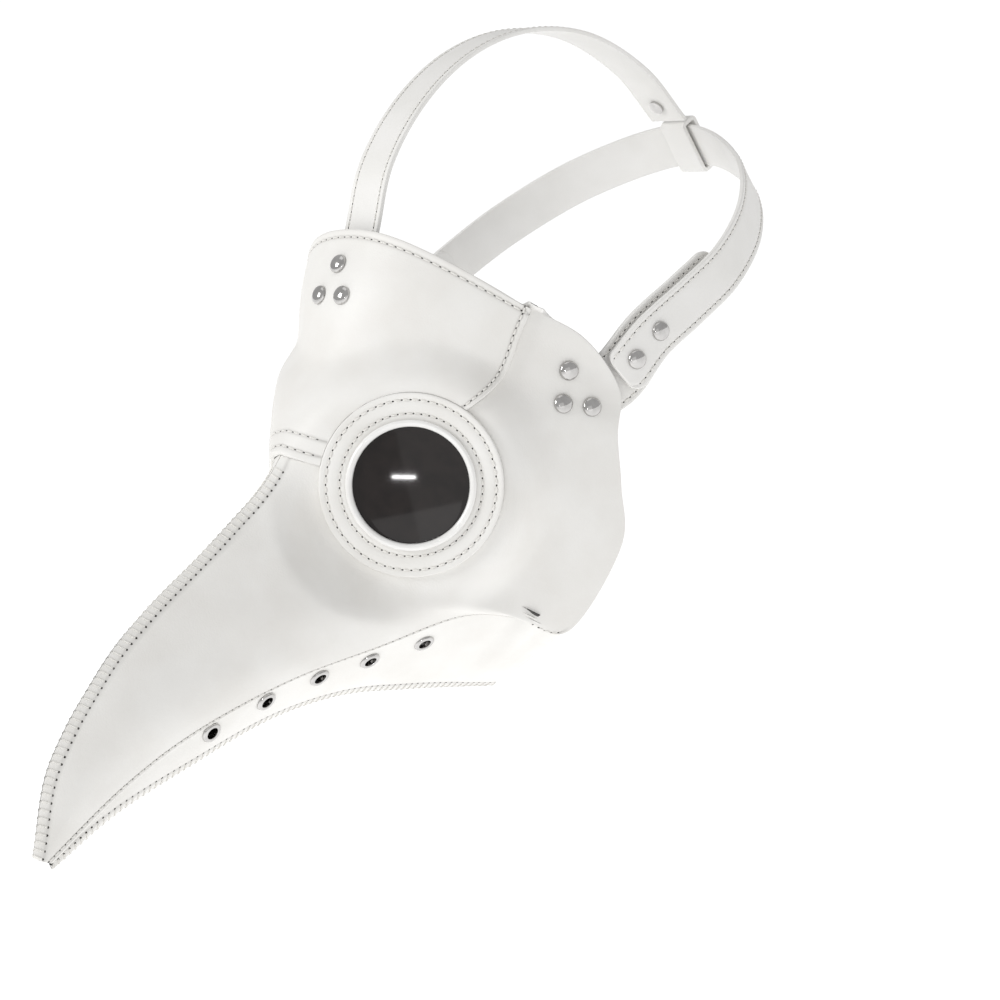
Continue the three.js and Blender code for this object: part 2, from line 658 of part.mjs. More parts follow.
// Adds NAME_left and its mirror image NAME_right
function addPair(name, geometry, makeMaterial, placement, number = "") {
  addMesh(`${name}_left${number}`, geometry, makeMaterial(), placement);
  addMesh(`${name}_right${number}`, mirrored(geometry), makeMaterial(), placement && mirrorPlacement(placement));
}

addMesh("forehead_panel", foreheadPanel(foreheadRivetPlacements.map(shankHole)), panelLeather());
addPair("side_panel", sidePanel(templeRivetPlacements.map(shankHole)), panelLeather);
addPair("bottom_panel", bottomPanel(ventHoles), panelLeather);

// ---- eyes ----

const ringTop = GAP + LEATHER;
const ring = turned(
  [
    [eyeHoleRadius, GAP],
    [RING_RADIUS, GAP],
    [RING_RADIUS, ringTop - RING_CHAMFER],
    [RING_RADIUS - RING_CHAMFER, ringTop],
    [eyeHoleRadius, ringTop],
  ],
  ROUND,
);
const bezelFoot = ringTop + GAP;
const bezelTop = bezelFoot + BEZEL_HEIGHT;
const bezel = turned(
  [
    [LENS_RADIUS + GAP, -LEATHER],
    [barrelRadius, -LEATHER],
    [barrelRadius, bezelFoot],
    [barrelRadius + BEZEL_LIP, bezelFoot],
    [barrelRadius + BEZEL_LIP, bezelTop - BEZEL_SLOPE],
    [barrelRadius, bezelTop],
    [LENS_VIEW_RADIUS, bezelTop - BEZEL_SLOPE],
    [LENS_VIEW_RADIUS, bezelFoot],
    [LENS_RADIUS + GAP, bezelFoot],
  ],
  ROUND,
);
const lensBack = bezelFoot - GAP - LENS_THICKNESS;
const lens = turned(
  [
    [0, lensBack],
    [LENS_RADIUS, lensBack],
    [LENS_RADIUS, lensBack + LENS_THICKNESS],
    [LENS_VIEW_RADIUS - GAP, lensBack + LENS_THICKNESS],
    [LENS_RADIUS / 2, lensBack + LENS_THICKNESS + LENS_DOME * 0.75],
    [0, lensBack + LENS_THICKNESS + LENS_DOME],
  ],
  ROUND,
);
const clampRing = turned(
  [
    [LENS_VIEW_RADIUS - CLAMP_LIP, clampFloor],
    [clampRadius, clampFloor],
    [clampRadius, clampTop],
    [LENS_RADIUS, clampTop],
    [LENS_RADIUS, lensBack - GAP],
    [LENS_VIEW_RADIUS - CLAMP_LIP, lensBack - GAP],
  ],
  ROUND,
);
addPair("eye_ring", ring, panelLeather, eyePlacement);
addPair("eye_bezel", bezel, enamel, eyePlacement);
addPair("lens", lens, darkLens, eyePlacement);
addPair("eye_clamp", clampRing, enamel, eyePlacement);

// ---- rivets and vents ----

const foreheadDepth = LEATHER + GAP + TOP_DEPTH + LEATHER + BURR_PLAY;
foreheadRivetPlacements.forEach((placement, i) => {
  addMesh(`forehead_rivet_${i + 1}`, rivetGeometry(foreheadDepth), nickel(), raised(placement, LEATHER + GAP));
});
templeRivetPlacements.forEach((placement, i) => {
  addPair("temple_rivet", rivetGeometry(TAB_DEPTH + LEATHER + BURR_PLAY), nickel, placement, `_${i + 1}`);
});
ventPlacements.forEach((placement, i) => addPair("vent", ventGeometry(), nickel, placement, `_${i + 1}`));

// ---- harness ----

const strapInner = GAP + STUD_FLANGE + GAP + SOCKET_HEIGHT + GAP; // above the tab's outer face
const strapOuter = strapInner + LEATHER;
const snapFrames = SNAPS.map((distance) => sideFrame(strapFront + distance));
const tab = strap(sideFrame, 0, tabEnd, TAB_WIDTH, 0, TAB_STEPS, TAB_FRONT_ROUND, TAB_END_ROUND);
const strapEnd = strap(
  sideFrame, strapFront, peelAt, STRAP_WIDTH, strapOuter, STRAP_END_STEPS, STRAP_FRONT_ROUND,
);
const snapHoles = snapFrames.map((frame) => drill(CAP_SHANK_RADIUS + GAP, 0, SNAP_DRILL, frame, SMALL_ROUND));
addPair("strap_tab", cut(tab, templeRivetPlacements.map(shankHole)), strapLeather);
addPair("strap_end", cut(strapEnd, snapHoles), strapLeather);

const cap = turned(
  [
    [0, strapInner],
    [CAP_SHANK_RADIUS, strapInner],
    [CAP_SHANK_RADIUS, strapOuter + GAP],
    ...dome(SNAP_RADIUS, SNAP_DOME, strapOuter + GAP),
  ],
  SMALL_ROUND,
);
const socket = turned(
  [
    [STUD_POST_RADIUS + SOCKET_CLEARANCE, strapInner - GAP - SOCKET_HEIGHT],
    [SOCKET_RADIUS, strapInner - GAP - SOCKET_HEIGHT],
    [SOCKET_RADIUS, strapInner - GAP],
    [STUD_POST_RADIUS + SOCKET_CLEARANCE, strapInner - GAP],
  ],
  SMALL_ROUND,
);
const stud = turned(
  [
    [0, GAP],
    [STUD_RADIUS, GAP],
    [STUD_RADIUS, GAP + STUD_FLANGE],
    [STUD_POST_RADIUS, GAP + STUD_FLANGE],
    [STUD_POST_RADIUS, strapInner - 2 * GAP],
    [0, strapInner - 2 * GAP],
  ],
  SMALL_ROUND,
);
snapFrames.forEach((frame, i) => {
  addPair("snap_cap", cap, nickel, frame, `_${i + 1}`);
  addPair("snap_socket", socket, nickel, frame, `_${i + 1}`);
  addPair("snap_stud", stud, nickel, frame, `_${i + 1}`);
});

const backStrap = strap(
  sideFrame, peelAt + GAP, sideLength - peelAt - GAP, STRAP_WIDTH, strapOuter, LONG_STRAP_STEPS,
);
addMesh("back_strap", backStrap, strapLeather());

const tailStart = topLength - TAIL_LENGTH;
const topStrap = strap(topFrame, 0, tailStart - TAIL_GAP, STRAP_WIDTH, 0, LONG_STRAP_STEPS);
const topTail = strap(topFrame, tailStart, topLength, STRAP_WIDTH, 0, TAIL_STEPS);
const loopRivetFrame = topFrame(topLength - LOOP_RIVET_FROM_END);
addMesh("top_strap", cut(topStrap, foreheadRivetPlacements.map(shankHole)), strapLeather());
addMesh("top_strap_tail", cut(topTail, [shankHole(loopRivetFrame)]), strapLeather());
addMesh("loop_rivet", rivetGeometry(LEATHER), nickel(), loopRivetFrame);

function loopGeometry() {
  const halfHeight = STRAP_WIDTH / 2 + 2 * GAP;
  const halfDepth = LEATHER / 2 + LOOP_PLAY;
  const rectangle = (x, y) => [
    new THREE.Vector2(-x, -y),
    new THREE.Vector2(x, -y),
    new THREE.Vector2(x, y),
    new THREE.Vector2(-x, y),
  ];
  const shape = new THREE.Shape(rectangle(halfDepth + LEATHER, halfHeight + LEATHER));
  shape.holes.push(new THREE.Path(rectangle(halfDepth, halfHeight).reverse()));
  const geometry = new THREE.ExtrudeGeometry(shape, { depth: LOOP_LENGTH, bevelEnabled: false });
  return geometry.translate(0, 0, -LOOP_LENGTH / 2).rotateY(Math.PI / 2);
}

const backMiddle = raised(sideFrame(sideLength / 2), strapOuter - LEATHER / 2);
addMesh("top_strap_loop", loopGeometry(), strapLeather(), backMiddle);

export default group;
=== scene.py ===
"""The looks of the plague doctor mask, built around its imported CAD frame: leather panels with their
stitching, the eyes, the metal hardware and the strap harness. Sizes are in millimetres, and become metres
where a mesh is made."""

import math

import bmesh
import bpy
import numpy as np
from mathutils import Matrix


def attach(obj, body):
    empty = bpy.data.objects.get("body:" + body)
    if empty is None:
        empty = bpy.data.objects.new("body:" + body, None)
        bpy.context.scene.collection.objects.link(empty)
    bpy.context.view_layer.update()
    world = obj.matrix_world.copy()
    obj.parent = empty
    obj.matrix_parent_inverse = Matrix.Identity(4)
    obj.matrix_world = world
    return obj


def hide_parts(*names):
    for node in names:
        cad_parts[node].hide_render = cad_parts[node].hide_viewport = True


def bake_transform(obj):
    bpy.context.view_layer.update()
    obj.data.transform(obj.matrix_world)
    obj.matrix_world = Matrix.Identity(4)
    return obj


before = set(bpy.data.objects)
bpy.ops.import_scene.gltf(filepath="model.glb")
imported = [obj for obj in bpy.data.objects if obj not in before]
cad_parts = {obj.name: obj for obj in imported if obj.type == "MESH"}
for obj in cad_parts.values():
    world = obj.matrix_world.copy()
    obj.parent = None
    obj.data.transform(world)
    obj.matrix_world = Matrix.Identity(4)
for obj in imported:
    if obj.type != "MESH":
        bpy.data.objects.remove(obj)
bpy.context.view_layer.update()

MM = 0.001
SIDES = ("left", "right")
GAP = 0.3  # clearance between touching pieces
LEATHER = 2.0  # thickness of the panels and straps

# The mask's left half as in the CAD model: stations from the top of the forehead (0) to the beak tip (13).
RIDGE = [[0, -7, 93], [0, -26, 72], [0, -44, 47], [0, -60, 29], [0, -80, 13.5], [0, -102, 4], [0, -122, -4],
         [0, -138, -9.5], [0, -152, -15], [0, -168, -22.5], [0, -184, -33], [0, -198, -43.5], [0, -212, -58],
         [0, -225, -83]]
RIM = [[62, 18, 54], [73, 33, 37], [77, 42, 13], [78, 35, -4], [78, 31, -24], [75.5, 26, -48], [60, 3, -76],
       [52, -15, -64], [43, -34, -57], [31, -66, -58], [21, -105, -58], [13, -147, -63], [7, -181, -72.5],
       [2.5, -219, -88]]
BOW = [[0, -10, 12], [0, -16, 9], [2, -17, 6], [1, -17, 8], [0, -16, 5], [0, -7, 2], [8, 10, 10], [7, 3, 4],
       [6, -1, 2], [5, -3, 1], [5, -3, 1], [4.5, -2, 1], [3.5, -1, 1], [1, -1, 0]]
KEEL = [[0, 7, -106], [0, -15, -98], [0, -38, -90], [0, -70, -80], [0, -107, -76], [0, -150, -79],
        [0, -186, -83], [0, -218, -91]]
TIP = 13
JAW = 6  # station of the jaw corner, where the lower beak seam starts
BELLY = 1.2  # outward bow of the bottom panels
BROW_STATION = 3.5  # lower edge of the forehead panel on the centre plane
PANEL_CORNER = (4, 0.5)  # its lower outer corner, as station and share
TEMPLE_CURVE = 1.4
TUCK_TEMPLE = (0.25, 0.93)  # corners of the side panel's upper edge, tucked under the forehead panel
TUCK_EYE = (2.7, 0.3)
TUCK_BROW = (2.95, 0)
SEAM_TUCK = 10  # width of bottom panel hidden behind the side panel
TUCK_DEPTH = 1.1  # a tucked edge lies this much further from the panel that covers it
SHARE_PER_STATION = 0.3  # about how much share is as wide as one station is long
CREASE_ROUND = 0.12  # share of the section over which the forehead is rounded across its centre
CREASE_REST = 0.015  # the rounding that is left below the brow
STEP = 0.01  # of station or share, for finding a surface's normal

EYE_CENTRE = np.array([38.0, -40.0, 0.0])
EYE_AZIMUTH = math.radians(46)
EYE_ELEVATION = math.radians(10)
FLAT_RADIUS = 38
BLEND_RADIUS = 56
RING_RADIUS = 36
LENS_RADIUS = 23.4
LENS_VIEW_RADIUS = 22.7
LENS_THICKNESS = 2
LENS_DOME = 1.2
BARREL_WALL = 0.7
BARREL_RADIUS = LENS_RADIUS + GAP + BARREL_WALL
EYE_HOLE_RADIUS = BARREL_RADIUS + GAP
CLAMP_WIDTH = 3.7
CLAMP_LIP = 1.4  # how far the clamp reaches inside the visible lens
CLAMP_RADIUS = EYE_HOLE_RADIUS + CLAMP_WIDTH
CLAMP_THICKNESS = 1.5

RIVET_RADIUS = 3.9
RIVET_DOME = 2.1
SHANK_RADIUS = 1.5
BURR_RADIUS = 3.2
BURR_THICKNESS = 0.9
BURR_PLAY = 1
VENT_HOLE_RADIUS = 2.5
VENT_WALL = 0.5
VENT_FLANGE_RADIUS = 4.4
VENT_FLANGE = 0.8
VENT_SLOPE = 0.6  # the flange is this much smaller at its crest and behind the leather
SNAP_DOME = 2
STUD_RADIUS = 3.6
STUD_FLANGE = 0.4
STUD_POST_RADIUS = 1.5
SOCKET_CLEARANCE = 0.5
SOCKET_RADIUS = 3.8
SOCKET_HEIGHT = 1
CAP_SHANK_RADIUS = 1

STRAP_WIDTH = 20
TAB_WIDTH = 24
TAB_ROOT = [(2.45, 0.78), (2.15, 0.9), (1.85, 1.0)]
TAB_DEPTH = 3.4
SIDE_PATH = [[78.5, 62, 28.5], [80.5, 84, 36], [80, 106, 43], [70, 134, 54], [45, 161, 66], [0, 178, 74]]
TOP_ROOT = [1.5, 0.8, 0.1]
TOP_DEPTH = 2
TOP_PATH = [[0, 9, 115], [0, 34, 134.5], [0, 64, 146], [0, 96, 147.5], [0, 130, 137], [0, 158, 114],
            [0, 174, 88.5]]
HEAD_CENTRE = np.array([0.0, 88.0, 30.0])
HEAD_HALF_SIZE = np.array([77.0, 97.0, 118.0])
STRAP_FROM_RIM = 2.5
TAB_REACH = 70
PEEL_FROM_TAB = 5
PANEL_HOLD = 0.7  # share of the riveted part of the tab that lies flat against the side panel
HEAD_REACH = 30  # past the panel's edge, the tab lies against the head from here on
PEEL_BEND = 9  # points this far in front of the peel line and behind it are found; the strap is not bent there
CROWN_BEND = (75, 16)  # points at these distances from the crown strap's end are found; the strap is not bent there
SNAPS = (9, 24)
LOOP_LENGTH = 14
LOOP_PLAY = 1.6
LOOP_RIVET_FROM_END = 9
LOOP_CORNER = 1.6
TEMPLE_RIVETS = [(1.72, 0.89), (2.38, 0.86), (2.42, 0.93)]
FOREHEAD_RIVETS = [(0.55, 0), (1.0, 0.09), (1.0, -0.09)]
VENTS = [(8.3, 0.3), (9.0, 0.3), (9.6, 0.3), (10.2, 0.3), (10.8, 0.3)]


# ---- the mask's surface ----


def smoothstep(x, low, high):
    t = np.clip((np.asarray(x, float) - low) / (high - low), 0, 1)
    return t * t * (3 - 2 * t)


def unit(vectors):
    return vectors / np.linalg.norm(vectors, axis=-1, keepdims=True)


def along(table, stations, first=0):
    """The rows of a station table at fractional stations, on a Catmull-Rom curve through them."""
    table = np.array(table, float)
    rows = np.vstack([2 * table[0] - table[1], table, 2 * table[-1] - table[-2]])
    place = np.asarray(stations, float) - first
    whole = np.clip(np.floor(place), 0, len(table) - 2).astype(int)
    t = (place - whole)[..., None]
    before, start, end, after = (rows[whole + k] for k in range(4))
    slope_start = (end - before) / 2
    slope_end = (after - start) / 2
    a = 2 * start - 2 * end + slope_start + slope_end
    b = 3 * end - 3 * start - 2 * slope_start - slope_end
    return ((a * t + b) * t + slope_start) * t + start


eye_axis = np.array([
    math.sin(EYE_AZIMUTH) * math.cos(EYE_ELEVATION),
    -math.cos(EYE_AZIMUTH) * math.cos(EYE_ELEVATION),
    math.sin(EYE_ELEVATION),
])


def mask_point(stations, shares):
    shares = np.asarray(shares, float)[..., None]
    points = along(RIDGE, stations) * (1 - shares) + along(RIM, stations) * shares
    points = points + along(BOW, stations) * 4 * shares * (1 - shares)
    from_eye = points - EYE_CENTRE
    height = from_eye @ eye_axis
    radius = np.sqrt(np.maximum(0, (from_eye**2).sum(-1) - height**2))
    flatness = 1 - smoothstep(radius, FLAT_RADIUS, BLEND_RADIUS)
    return points - (height * flatness)[..., None] * eye_axis


def forehead_point(stations, shares):
    """The mask's surface, rounded across the centre line of the forehead, where one panel spans it."""
    soft = CREASE_ROUND * (1 - smoothstep(stations, 1.2, 3.2)) + CREASE_REST
    points = mask_point(stations, shares)
    rounded = mask_point(stations, np.sqrt(np.asarray(shares, float) ** 2 + soft**2))
    keep = smoothstep(shares, 0, 4 * CREASE_ROUND)[..., None]
    rounded[..., 0] = points[..., 0]
    return points * keep + rounded * (1 - keep)


def normals_of(surface, stations, shares, first=0):
    s0, s1 = np.maximum(first, stations - STEP), np.minimum(TIP, stations + STEP)
    t0, t1 = np.maximum(0, shares - STEP), np.minimum(1, shares + STEP)
    along_step = surface(s1, shares) - surface(s0, shares)
    across_step = surface(stations, t1) - surface(stations, t0)
    return unit(np.cross(along_step, across_step))


def offset(surface, stations, shares, distances, first=0):
    """Points of a surface moved out along its normals; those on the centre plane stay on it."""
    stations, shares, distances = np.broadcast_arrays(
        np.asarray(stations, float), np.asarray(shares, float), np.asarray(distances, float))
    points = surface(stations, shares)
    normals = normals_of(surface, stations, shares, first)
    centred = np.abs(points[..., 0]) < 1e-6
    flat = normals * [0, 1, 1]
    length = np.maximum((flat**2).sum(-1, keepdims=True), 0.2)
    normals = np.where(centred[..., None], flat / length, normals)
    return points + normals * distances[..., None]


def bottom_point(stations, shares):
    """The bottom panel's outer face, from behind the side panel's edge (share 0) to the keel (share 1)."""
    stations, shares = np.broadcast_arrays(np.asarray(stations, float), np.asarray(shares, float))
    seam = offset(mask_point, stations, np.ones_like(shares), -LEATHER - TUCK_DEPTH)
    part = shares[..., None]
    belly = BELLY * 4 * part * (1 - part) * np.array([0.5, 0, -1])
    return seam * (1 - part) + along(KEEL, stations, JAW) * part + belly


# ---- mesh building ----

SHARP_ANGLE = math.radians(40)  # edges that turn more than this stay sharp
TOOL_SIDES = 96
CORNER_SHARE = 2.2  # a rounded corner takes at most its edge divided by this


class Builder:
    """Collects the points and faces of one mesh. `slots` numbers each face's material in `materials`, and
    `seams` says how near a point is to a stitched seam, from 0 to 1; the leather's colour darkens there as
    painted shade."""

    def __init__(self):
        self.points = []
        self.faces = []
        self.slots = []
        self.materials = []
        self.seams = []
        self.count = 0

    def add(self, points, faces, material, seam=None):
        if material not in self.materials:
            self.materials.append(material)
        points = np.asarray(points, float).reshape(-1, 3)
        self.points.append(points)
        self.seams.append(np.zeros(len(points)) if seam is None else np.asarray(seam, float).reshape(-1))
        self.faces += [tuple(i + self.count for i in face) for face in faces]
        self.slots += [self.materials.index(material)] * len(faces)
        self.count += len(points)

    def make(self, name, mirror=False):
        points = np.vstack(self.points) * MM
        faces = self.faces
        if mirror:
            points = points * [-1, 1, 1]
            faces = [face[::-1] for face in faces]
        mesh = bpy.data.meshes.new(name)
        mesh.from_pydata(points.tolist(), [], faces)
        for material in self.materials:
            mesh.materials.append(material)
        mesh.polygons.foreach_set("material_index", self.slots)
        seam = mesh.attributes.new("seam", "FLOAT", "POINT")
        seam.data.foreach_set("value", np.concatenate(self.seams).astype(np.float32))
        mesh.shade_smooth()
        mesh.set_sharp_from_angle(angle=SHARP_ANGLE)
        piece = bpy.data.objects.new(name, mesh)
        bpy.context.scene.collection.objects.link(piece)
        return piece


def grid_faces(rows, columns, start=0, flip=False, wrap_rows=False, wrap_columns=False):
    """Quads of a grid of points, optionally closed along its rows or its columns."""
    faces = []
    for i in range(rows if wrap_rows else rows - 1):
        for j in range(columns if wrap_columns else columns - 1):
            i1, j1 = (i + 1) % rows, (j + 1) % columns
            face = (start + i * columns + j, start + i1 * columns + j,
                    start + i1 * columns + j1, start + i * columns + j1)
            faces.append(face[::-1] if flip else face)
    return faces


def add_loft(builder, rows, material, closed=False, seam=None):
    """Joins a row of profile loops, each closed on itself. An open row gets its two ends filled."""
    rows = np.asarray(rows, float)
    count, size = rows.shape[:2]
    faces = grid_faces(count, size, wrap_rows=closed, wrap_columns=True)
    if not closed:
        faces.append(tuple(range(size)))
        faces.append(tuple((count - 1) * size + i for i in reversed(range(size))))
    builder.add(rows, faces, material, seam)


def frame_at(point, normal, toward):
    """(origin, x, y, z) with Z along the normal and X as near as possible to the given direction."""
    z = unit(np.asarray(normal, float))
    y = unit(np.cross(z, toward))
    return np.asarray(point, float), np.cross(y, z), y, z


def placed(local, spot):
    """Points given in a frame, as points in the part."""
    origin, x, y, z = spot
    local = np.asarray(local, float)
    return origin + local[..., :1] * x + local[..., 1:2] * y + local[..., 2:] * z


def mirrored_spot(spot):
    origin, x, y, z = spot
    flip = np.array([-1, 1, 1])
    return origin * flip, -x * flip, y * flip, z * flip


def add_turned(builder, profile, spot, material, segments=48):
    """A body turned around a frame's Z axis from a closed profile of (radius, height) points."""
    profile = np.asarray(profile, float)
    angles = np.linspace(0, 2 * math.pi, segments, endpoint=False)
    radii, heights = profile.T
    rows = np.stack([np.column_stack([radii * math.cos(a), radii * math.sin(a), heights]) for a in angles])
    size = len(profile)
    faces = grid_faces(segments, size, wrap_rows=True)
    if radii[0] > 0:
        starts = [(i * size, (i + 1) % segments * size) for i in range(segments)]
        faces += [(here + size - 1, there + size - 1, there, here) for here, there in starts]
    builder.add(placed(rows, spot), faces, material)


def rounded_profile(corners, radius=0.25, steps=3):
    """Rounds the corners of a (radius, height) outline, apart from the points on the axis."""
    corners = [np.array(c, float) for c in corners]
    result = []
    count = len(corners)
    for i, corner in enumerate(corners):
        if corner[0] == 0:
            result.append(corner)
            continue
        before, after = corners[i - 1], corners[(i + 1) % count]
        shorter = min(np.linalg.norm(before - corner), np.linalg.norm(after - corner))
        reach = min(radius, shorter / CORNER_SHARE)
        start = corner + unit(before - corner) * reach
        end = corner + unit(after - corner) * reach
        for t in np.linspace(0, 1, steps + 1):
            result.append((1 - t) ** 2 * start + 2 * t * (1 - t) * corner + t**2 * end)
    return np.array(result)


def circle(radius, sides):
    angles = np.linspace(0, 2 * math.pi, sides, endpoint=False)
    return np.column_stack([radius * np.cos(angles), radius * np.sin(angles), np.zeros(sides)])


def weld(piece, distance=0.002):
    """Joins the points of a piece that lie on each other, and turns its faces outward."""
    work = bmesh.new()
    work.from_mesh(piece.data)
    bmesh.ops.remove_doubles(work, verts=work.verts, dist=distance * MM)
    bmesh.ops.recalc_face_normals(work, faces=work.faces)
    work.to_mesh(piece.data)
    work.free()
    return piece


def cut_away(piece, cutters):
    """Cuts round tools, given as (radius, from, to, frame), out of a piece."""
    weld(piece)
    builder = Builder()
    for radius, low, high, spot in cutters:
        ring = circle(radius, TOOL_SIDES)
        add_loft(builder, [placed(ring + [0, 0, h], spot) for h in (low, high)], piece.data.materials[-1])
    tool = weld(builder.make("tool"))
    modifier = piece.modifiers.new("cut", "BOOLEAN")
    modifier.operation = "DIFFERENCE"
    modifier.solver = "MANIFOLD"
    modifier.object = tool
    evaluated = piece.evaluated_get(bpy.context.evaluated_depsgraph_get())
    mesh = bpy.data.meshes.new_from_object(evaluated)
    piece.modifiers.clear()
    piece.data = mesh
    bpy.data.objects.remove(tool)
    mesh.shade_smooth()
    mesh.set_sharp_from_angle(angle=SHARP_ANGLE)
    return piece


# ---- materials ----


def new_material(name):
    material = bpy.data.materials.new(name)
    material.use_nodes = True
    nodes = material.node_tree.nodes
    return material, nodes, material.node_tree.links, nodes["Principled BSDF"]


def noise_node(nodes, links, source, scale, detail=3.0):
    node = nodes.new("ShaderNodeTexNoise")
    node.inputs["Scale"].default_value = scale
    node.inputs["Detail"].default_value = detail
    links.new(source, node.inputs["Vector"])
    return node


def mixed_colour(nodes, links, factor, first, second, low=0.35, high=0.65):
    """A colour that goes from first to second as the factor goes from low to high."""
    ramp = nodes.new("ShaderNodeValToRGB")
    ramp.color_ramp.elements[0].position = low
    ramp.color_ramp.elements[0].color = (*first, 1)
    ramp.color_ramp.elements[1].position = high
    ramp.color_ramp.elements[1].color = (*second, 1)
    links.new(factor, ramp.inputs["Fac"])
    return ramp.outputs["Color"]


def add_bump(nodes, links, shader, height, strength, distance):
    bump = nodes.new("ShaderNodeBump")
    bump.inputs["Strength"].default_value = strength
    bump.inputs["Distance"].default_value = distance * MM
    links.new(height, bump.inputs["Height"])
    links.new(bump.outputs["Normal"], shader.inputs["Normal"])


def leather(name, light, dark, grain=0.22, roughness=(0.42, 0.56)):
    """Coated leather: fine pebbled grain, faint cloudiness, and painted shade darkening it along the stitched
    seams.
    """
    material, nodes, links, shader = new_material(name)
    place = nodes.new("ShaderNodeTexCoord").outputs["Object"]
    clouds = noise_node(nodes, links, place, 45)
    colour = mixed_colour(nodes, links, clouds.outputs["Fac"], dark, light)
    # Painted shade: the colour darkens towards the stitch grooves, as far as the seam attribute says.
    seam = nodes.new("ShaderNodeAttribute")
    seam.attribute_name = "seam"
    seam_shade = nodes.new("ShaderNodeMix")
    seam_shade.data_type = "RGBA"
    links.new(seam.outputs["Fac"], seam_shade.inputs["Factor"])
    links.new(colour, seam_shade.inputs["A"])
    seam_shade.inputs["B"].default_value = (*[0.62 * c for c in dark], 1)
    links.new(seam_shade.outputs["Result"], shader.inputs["Base Color"])
    pebbles = nodes.new("ShaderNodeTexVoronoi")
    pebbles.inputs["Scale"].default_value = 1250
    links.new(place, pebbles.inputs["Vector"])
    wrinkles = noise_node(nodes, links, place, 420, 5)
    height = nodes.new("ShaderNodeMix")
    height.inputs["Factor"].default_value = 0.45
    links.new(pebbles.outputs["Distance"], height.inputs["A"])
    links.new(wrinkles.outputs["Fac"], height.inputs["B"])
    add_bump(nodes, links, shader, height.outputs["Result"], grain, 0.25)
    gloss = nodes.new("ShaderNodeMapRange")
    gloss.inputs["To Min"].default_value, gloss.inputs["To Max"].default_value = roughness
    links.new(wrinkles.outputs["Fac"], gloss.inputs["Value"])
    links.new(gloss.outputs["Result"], shader.inputs["Roughness"])
    shader.inputs["Specular IOR Level"].default_value = 0.4
    return material


def plain(name, first, second, roughness, scale=700, bump_strength=0.08, metallic=0.0, coat=0.0):
    """A smooth material with a little fine variation of colour and surface."""
    material, nodes, links, shader = new_material(name)
    place = nodes.new("ShaderNodeTexCoord").outputs["Object"]
    noise = noise_node(nodes, links, place, scale)
    colour = mixed_colour(nodes, links, noise.outputs["Fac"], first, second)
    links.new(colour, shader.inputs["Base Color"])
    add_bump(nodes, links, shader, noise.outputs["Fac"], bump_strength, 0.1)
    shader.inputs["Roughness"].default_value = roughness
    shader.inputs["Metallic"].default_value = metallic
    shader.inputs["Coat Weight"].default_value = coat
    return material


def twisted_thread():
    """Waxed sewing thread: the strands of its twist show as fine diagonal ridges."""
    material, nodes, links, shader = new_material("thread")
    place = nodes.new("ShaderNodeTexCoord").outputs["Object"]
    wave = nodes.new("ShaderNodeTexWave")
    wave.bands_direction = "DIAGONAL"
    wave.inputs["Scale"].default_value = 900
    wave.inputs["Distortion"].default_value = 1.5
    links.new(place, wave.inputs["Vector"])
    colour = mixed_colour(nodes, links, wave.outputs["Fac"], (0.72, 0.70, 0.66), (0.86, 0.85, 0.82), 0.1, 0.6)
    links.new(colour, shader.inputs["Base Color"])
    add_bump(nodes, links, shader, wave.outputs["Fac"], 0.4, 0.1)
    shader.inputs["Roughness"].default_value = 0.6
    return material


PANEL = leather("panel_leather", (0.84, 0.83, 0.805), (0.80, 0.785, 0.755))
STRAP = leather("strap_leather", (0.85, 0.84, 0.82), (0.81, 0.80, 0.775), grain=0.16)
LINING = plain("lining_cloth", (0.045, 0.043, 0.042), (0.075, 0.072, 0.07), 0.85, 1400, 0.5)
EDGE = plain("cut_edge", (0.84, 0.83, 0.80), (0.90, 0.89, 0.87), 0.5, 900, 0.25)
THREAD = twisted_thread()
# Painted shade: a dark disc stands for the shade inside each needle hole.
HOLE_SHADE = plain("needle_hole_shade", (0.025, 0.022, 0.02), (0.05, 0.045, 0.04), 0.8)
NICKEL = plain("polished_nickel", (0.50, 0.49, 0.48), (0.58, 0.57, 0.56), 0.12, 260, 0.02, metallic=1)
RIM_WHITE = plain("eye_rim", (0.84, 0.83, 0.81), (0.88, 0.875, 0.86), 0.22, 120, 0.03, coat=0.4)
LENS = plain("dark_lens", (0.006, 0.0035, 0.003), (0.012, 0.008, 0.007), 0.06, 160, 0)


# ---- panels ----

# Grid lines lie at these distances from a sewn edge and from a plain one, and around the second row of the brow
MARKS = [0, 0.12, 0.3, 0.6, 1.0, 1.5, 1.9, 2.3, 2.7, 3.1, 3.5, 3.9, 4.4, 5.2, 6.2]
PLAIN_MARKS = [0, 0.12, 0.3, 0.6, 1.0, 1.8, 3.0]
BROW_MARKS = MARKS + [7.4, 8.4, 9.1, 9.8, 10.5, 11.4]
ROLL = 0.6  # radius of a panel's rounded edge
SAMPLES = np.linspace(0, 1, 161)


def reach_along(points):
    """Distance travelled along a line of points (the second last axis)."""
    steps = np.linalg.norm(np.diff(points, axis=-2), axis=-1)
    return np.concatenate([np.zeros((*steps.shape[:-1], 1)), np.cumsum(steps, axis=-1)], axis=-1)


def spaced(length, start_marks, middle, end_marks):
    """Distances along a length: the marks from its start, evenly spaced ones, and the marks from its end."""
    total = start_marks[-1] + end_marks[-1]
    scale = min(1, 0.7 * length / total) if total else 1
    start = np.array(start_marks) * scale
    end = length - np.array(end_marks[::-1]) * scale
    between = np.linspace(start[-1], end[0], middle + 2)[1:-1]
    return np.concatenate([start, between, end])


